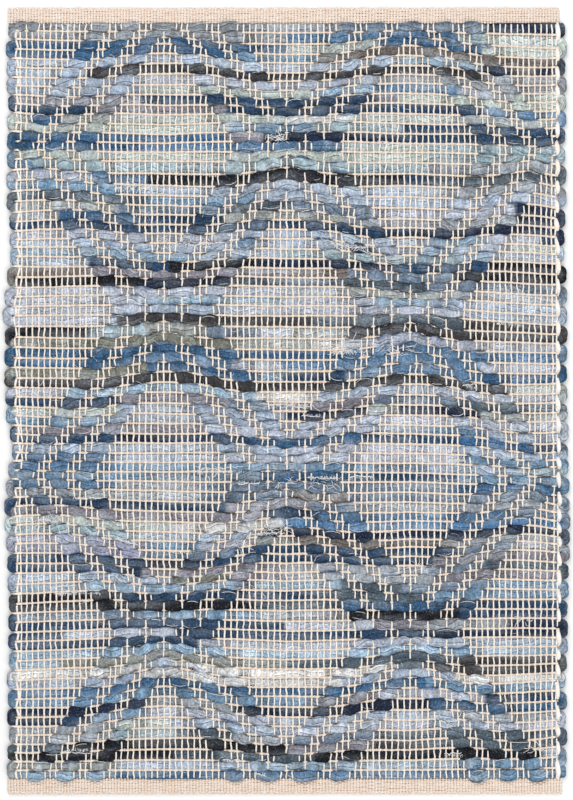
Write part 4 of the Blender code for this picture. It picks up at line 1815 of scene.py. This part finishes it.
    def stray_threads(self, draws: np.random.Generator) -> Iterator[LooseThread]:
        """Scatter single threads over the face.

        Args:
            draws: Source of the threads' places and tones.

        Yields:
            The threads.
        """
        loom = self.rag.loom
        reach = loom.half_width - 2.0 * self.edge_gap
        for _ in range(self.strays):
            x = draws.uniform(-reach, reach)
            path = self.curled(draws, x, draws.uniform(0.5, loom.rows - 0.5), self.stray_curl)
            tone = draws.choice(len(self.stray_odds), p=self.stray_odds)
            yield LooseThread(path, tone, self.stray_radius, self.lift)

    def build(self, material: bpy.types.Material) -> bpy.types.Object:
        """Lay all the loose threads.

        Args:
            material: Finish of the threads.

        Returns:
            One object with all of them.
        """
        draws = np.random.default_rng(self.seed)
        tones = np.array([to_linear(code)[:3] for code in self.tones])
        threads = [
            *self.float_edges(draws),
            *self.fringe_threads(draws),
            *self.strip_edges(draws),
            *self.tuft_threads(draws),
            *self.stray_threads(draws),
        ]
        flat = np.concatenate([thread.path for thread in threads])
        heights = self.rag.surface(flat[:, 0], flat[:, 1]) + self.height_variety * draws.random(len(flat))
        strands = StrandMesh("loose_threads", self.sides)
        first = 0
        for thread in threads:
            count = len(thread.path)
            height = np.maximum(heights[first:first + count] + thread.lift, self.lowest)
            first += count
            taper = np.array([self.tips[0], *np.ones(count - 2), self.tips[1]])
            radius = thread.radius * draws.uniform(*self.fullness) * taper
            section = round_section(count, radius, self.sides)
            color = np.tile(tones[thread.tone], (count, 1))
            strands.add(np.column_stack([thread.path, height]), *section, color)
        return strands.build(material)


class SoftLight(NamedTuple):
    """A square soft light that points at the rug's middle."""

    name: str
    place: tuple[float, float, float]
    size: float
    power: float             # watts


@dataclass
class Studio:
    """The pale floor, the soft lights and the camera above the rug."""

    frame_height_px: int = 800
    mm_per_px: float = 1.0873            # in the photograph, at the rug
    centre_y_px: float = 401.0           # the rug's middle in the photograph
    camera_height: float = 2.6
    focus_height: float = 0.006          # of the rug's face, where the photograph's scale holds
    sensor: float = 24.0
    floor_size: float = 8.0
    floor_gap: float = 0.0002
    floor_tint: str = "FBFBFB"
    sky_strength: float = 0.55
    lights: tuple[SoftLight, ...] = (
        SoftLight("key_light", (-0.5, 1.5, 1.9), 1.6, 25.0),
        SoftLight("fill_light", (0.9, -1.3, 2.2), 2.2, 29.5),
    )

    def build_floor(self) -> None:
        """Make the floor, just under the rug."""
        bpy.ops.mesh.primitive_plane_add(size=self.floor_size, location=(0.0, 0.0, -self.floor_gap))
        floor = bpy.context.object
        floor.name = "floor"
        material = bpy.data.materials.new("matt_white_floor")
        material.use_nodes = True
        shader = material.node_tree.nodes["Principled BSDF"]
        shader.inputs["Base Color"].default_value = to_linear(self.floor_tint)
        shader.inputs["Roughness"].default_value = 1.0
        floor.data.materials.append(material)
        floor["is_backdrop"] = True

    def build_lights(self) -> None:
        """Make one broad soft light up the rug, another below it, and an even sky."""
        for light in self.lights:
            lamp_data = bpy.data.lights.new(light.name, "AREA")
            lamp_data.size = light.size
            lamp_data.energy = light.power
            lamp = bpy.data.objects.new(light.name, lamp_data)
            lamp.location = light.place
            lamp.rotation_euler = (-lamp.location).to_track_quat("-Z", "Y").to_euler()
            bpy.context.scene.collection.objects.link(lamp)
        world = bpy.data.worlds.new("studio_sky")
        world.use_nodes = True
        sky = world.node_tree.nodes["Background"]
        sky.inputs["Color"].default_value = (1.0, 1.0, 1.0, 1.0)
        sky.inputs["Strength"].default_value = self.sky_strength
        bpy.context.scene.world = world

    def build_camera(self) -> None:
        """Make the camera straight above the rug."""
        shot = bpy.data.cameras.new("camera")
        shot.sensor_fit = "VERTICAL"
        shot.sensor_height = self.sensor
        view_height = self.frame_height_px * self.mm_per_px * MM
        shot.lens = self.sensor * (self.camera_height - self.focus_height) / view_height
        camera = bpy.data.objects.new("camera", shot)
        rise = (self.centre_y_px - self.frame_height_px / 2.0) * self.mm_per_px * MM
        camera.location = (0.0, rise, self.camera_height)
        bpy.context.scene.collection.objects.link(camera)
        bpy.context.scene.camera = camera


def attach(piece: bpy.types.Object, slot: Slot, *nodes: str) -> None:
    """Ride a piece on the rug, hide the solids that it stands for, and log its triangles.

    Args:
        piece: The piece.
        slot: Material slot that it takes its finish from; not used.
        nodes: Solids that it replaces.
    """
    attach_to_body(piece, BODY)
    if nodes:
        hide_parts(*nodes)
    triangles = sum(len(face.vertices) - 2 for face in piece.data.polygons)
    LOG.info("%s: %d triangles", piece.name, triangles)


def main() -> None:
    """Build the rug's pieces in order, then the studio."""
    logging.basicConfig(level=logging.INFO, format="%(name)s: %(message)s")
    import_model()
    cad_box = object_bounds()

    loom = Loom()
    rag = RagWeft(loom)
    rag_bands = rag.build(RagDenim().make())
    for band in rag_bands:
        attach(band, Slot.RAG, "rag_field")
    thread_finish = CottonYarn("torn_denim_thread", light="FFFFFF", shade="F0F0F0")
    threads = LooseThreads(rag).build(thread_finish.make())
    attach(threads, Slot.RAG)

    ground = CottonGround(loom, rag)
    warp_yarn = CottonYarn("cotton_warp_yarn").make()
    weft_yarn = CottonYarn("cotton_weft_yarn", light="FFF5EA", shade="F9DFC8").make()
    heading_yarn = CottonYarn("cotton_heading_yarn", light="FFFFFC", shade="FFEEDD").make()
    yarns = [
        *ground.build_face_warps(warp_yarn),
        ground.build_back_warps(weft_yarn),
        ground.build_thin_weft(weft_yarn),
        ground.build_right_cord(heading_yarn),
    ]
    for yarn in yarns:
        attach(yarn, Slot.COTTON)

    headings = []
    for heading in (
        Heading(loom, "woven_heading_top", "heading_top", 1, -0.3023, 0.2963),
        Heading(loom, "woven_heading_bottom", "heading_bottom", -1, -0.3028, 0.2990),
    ):
        headings.append(heading.build(heading_yarn))
        attach(headings[-1], Slot.COTTON, heading.node)

    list(rag_bands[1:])

    studio = Studio()
    studio.build_floor()
    studio.build_lights()
    studio.build_camera()
    bpy.context.scene.view_settings.view_transform = "Standard"

    boxes = {"cad": cad_box, "visual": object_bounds()}
    plain = {name: [[float(value) for value in corner] for corner in box] for name, box in boxes.items()}


if __name__ == "__main__":
    main()
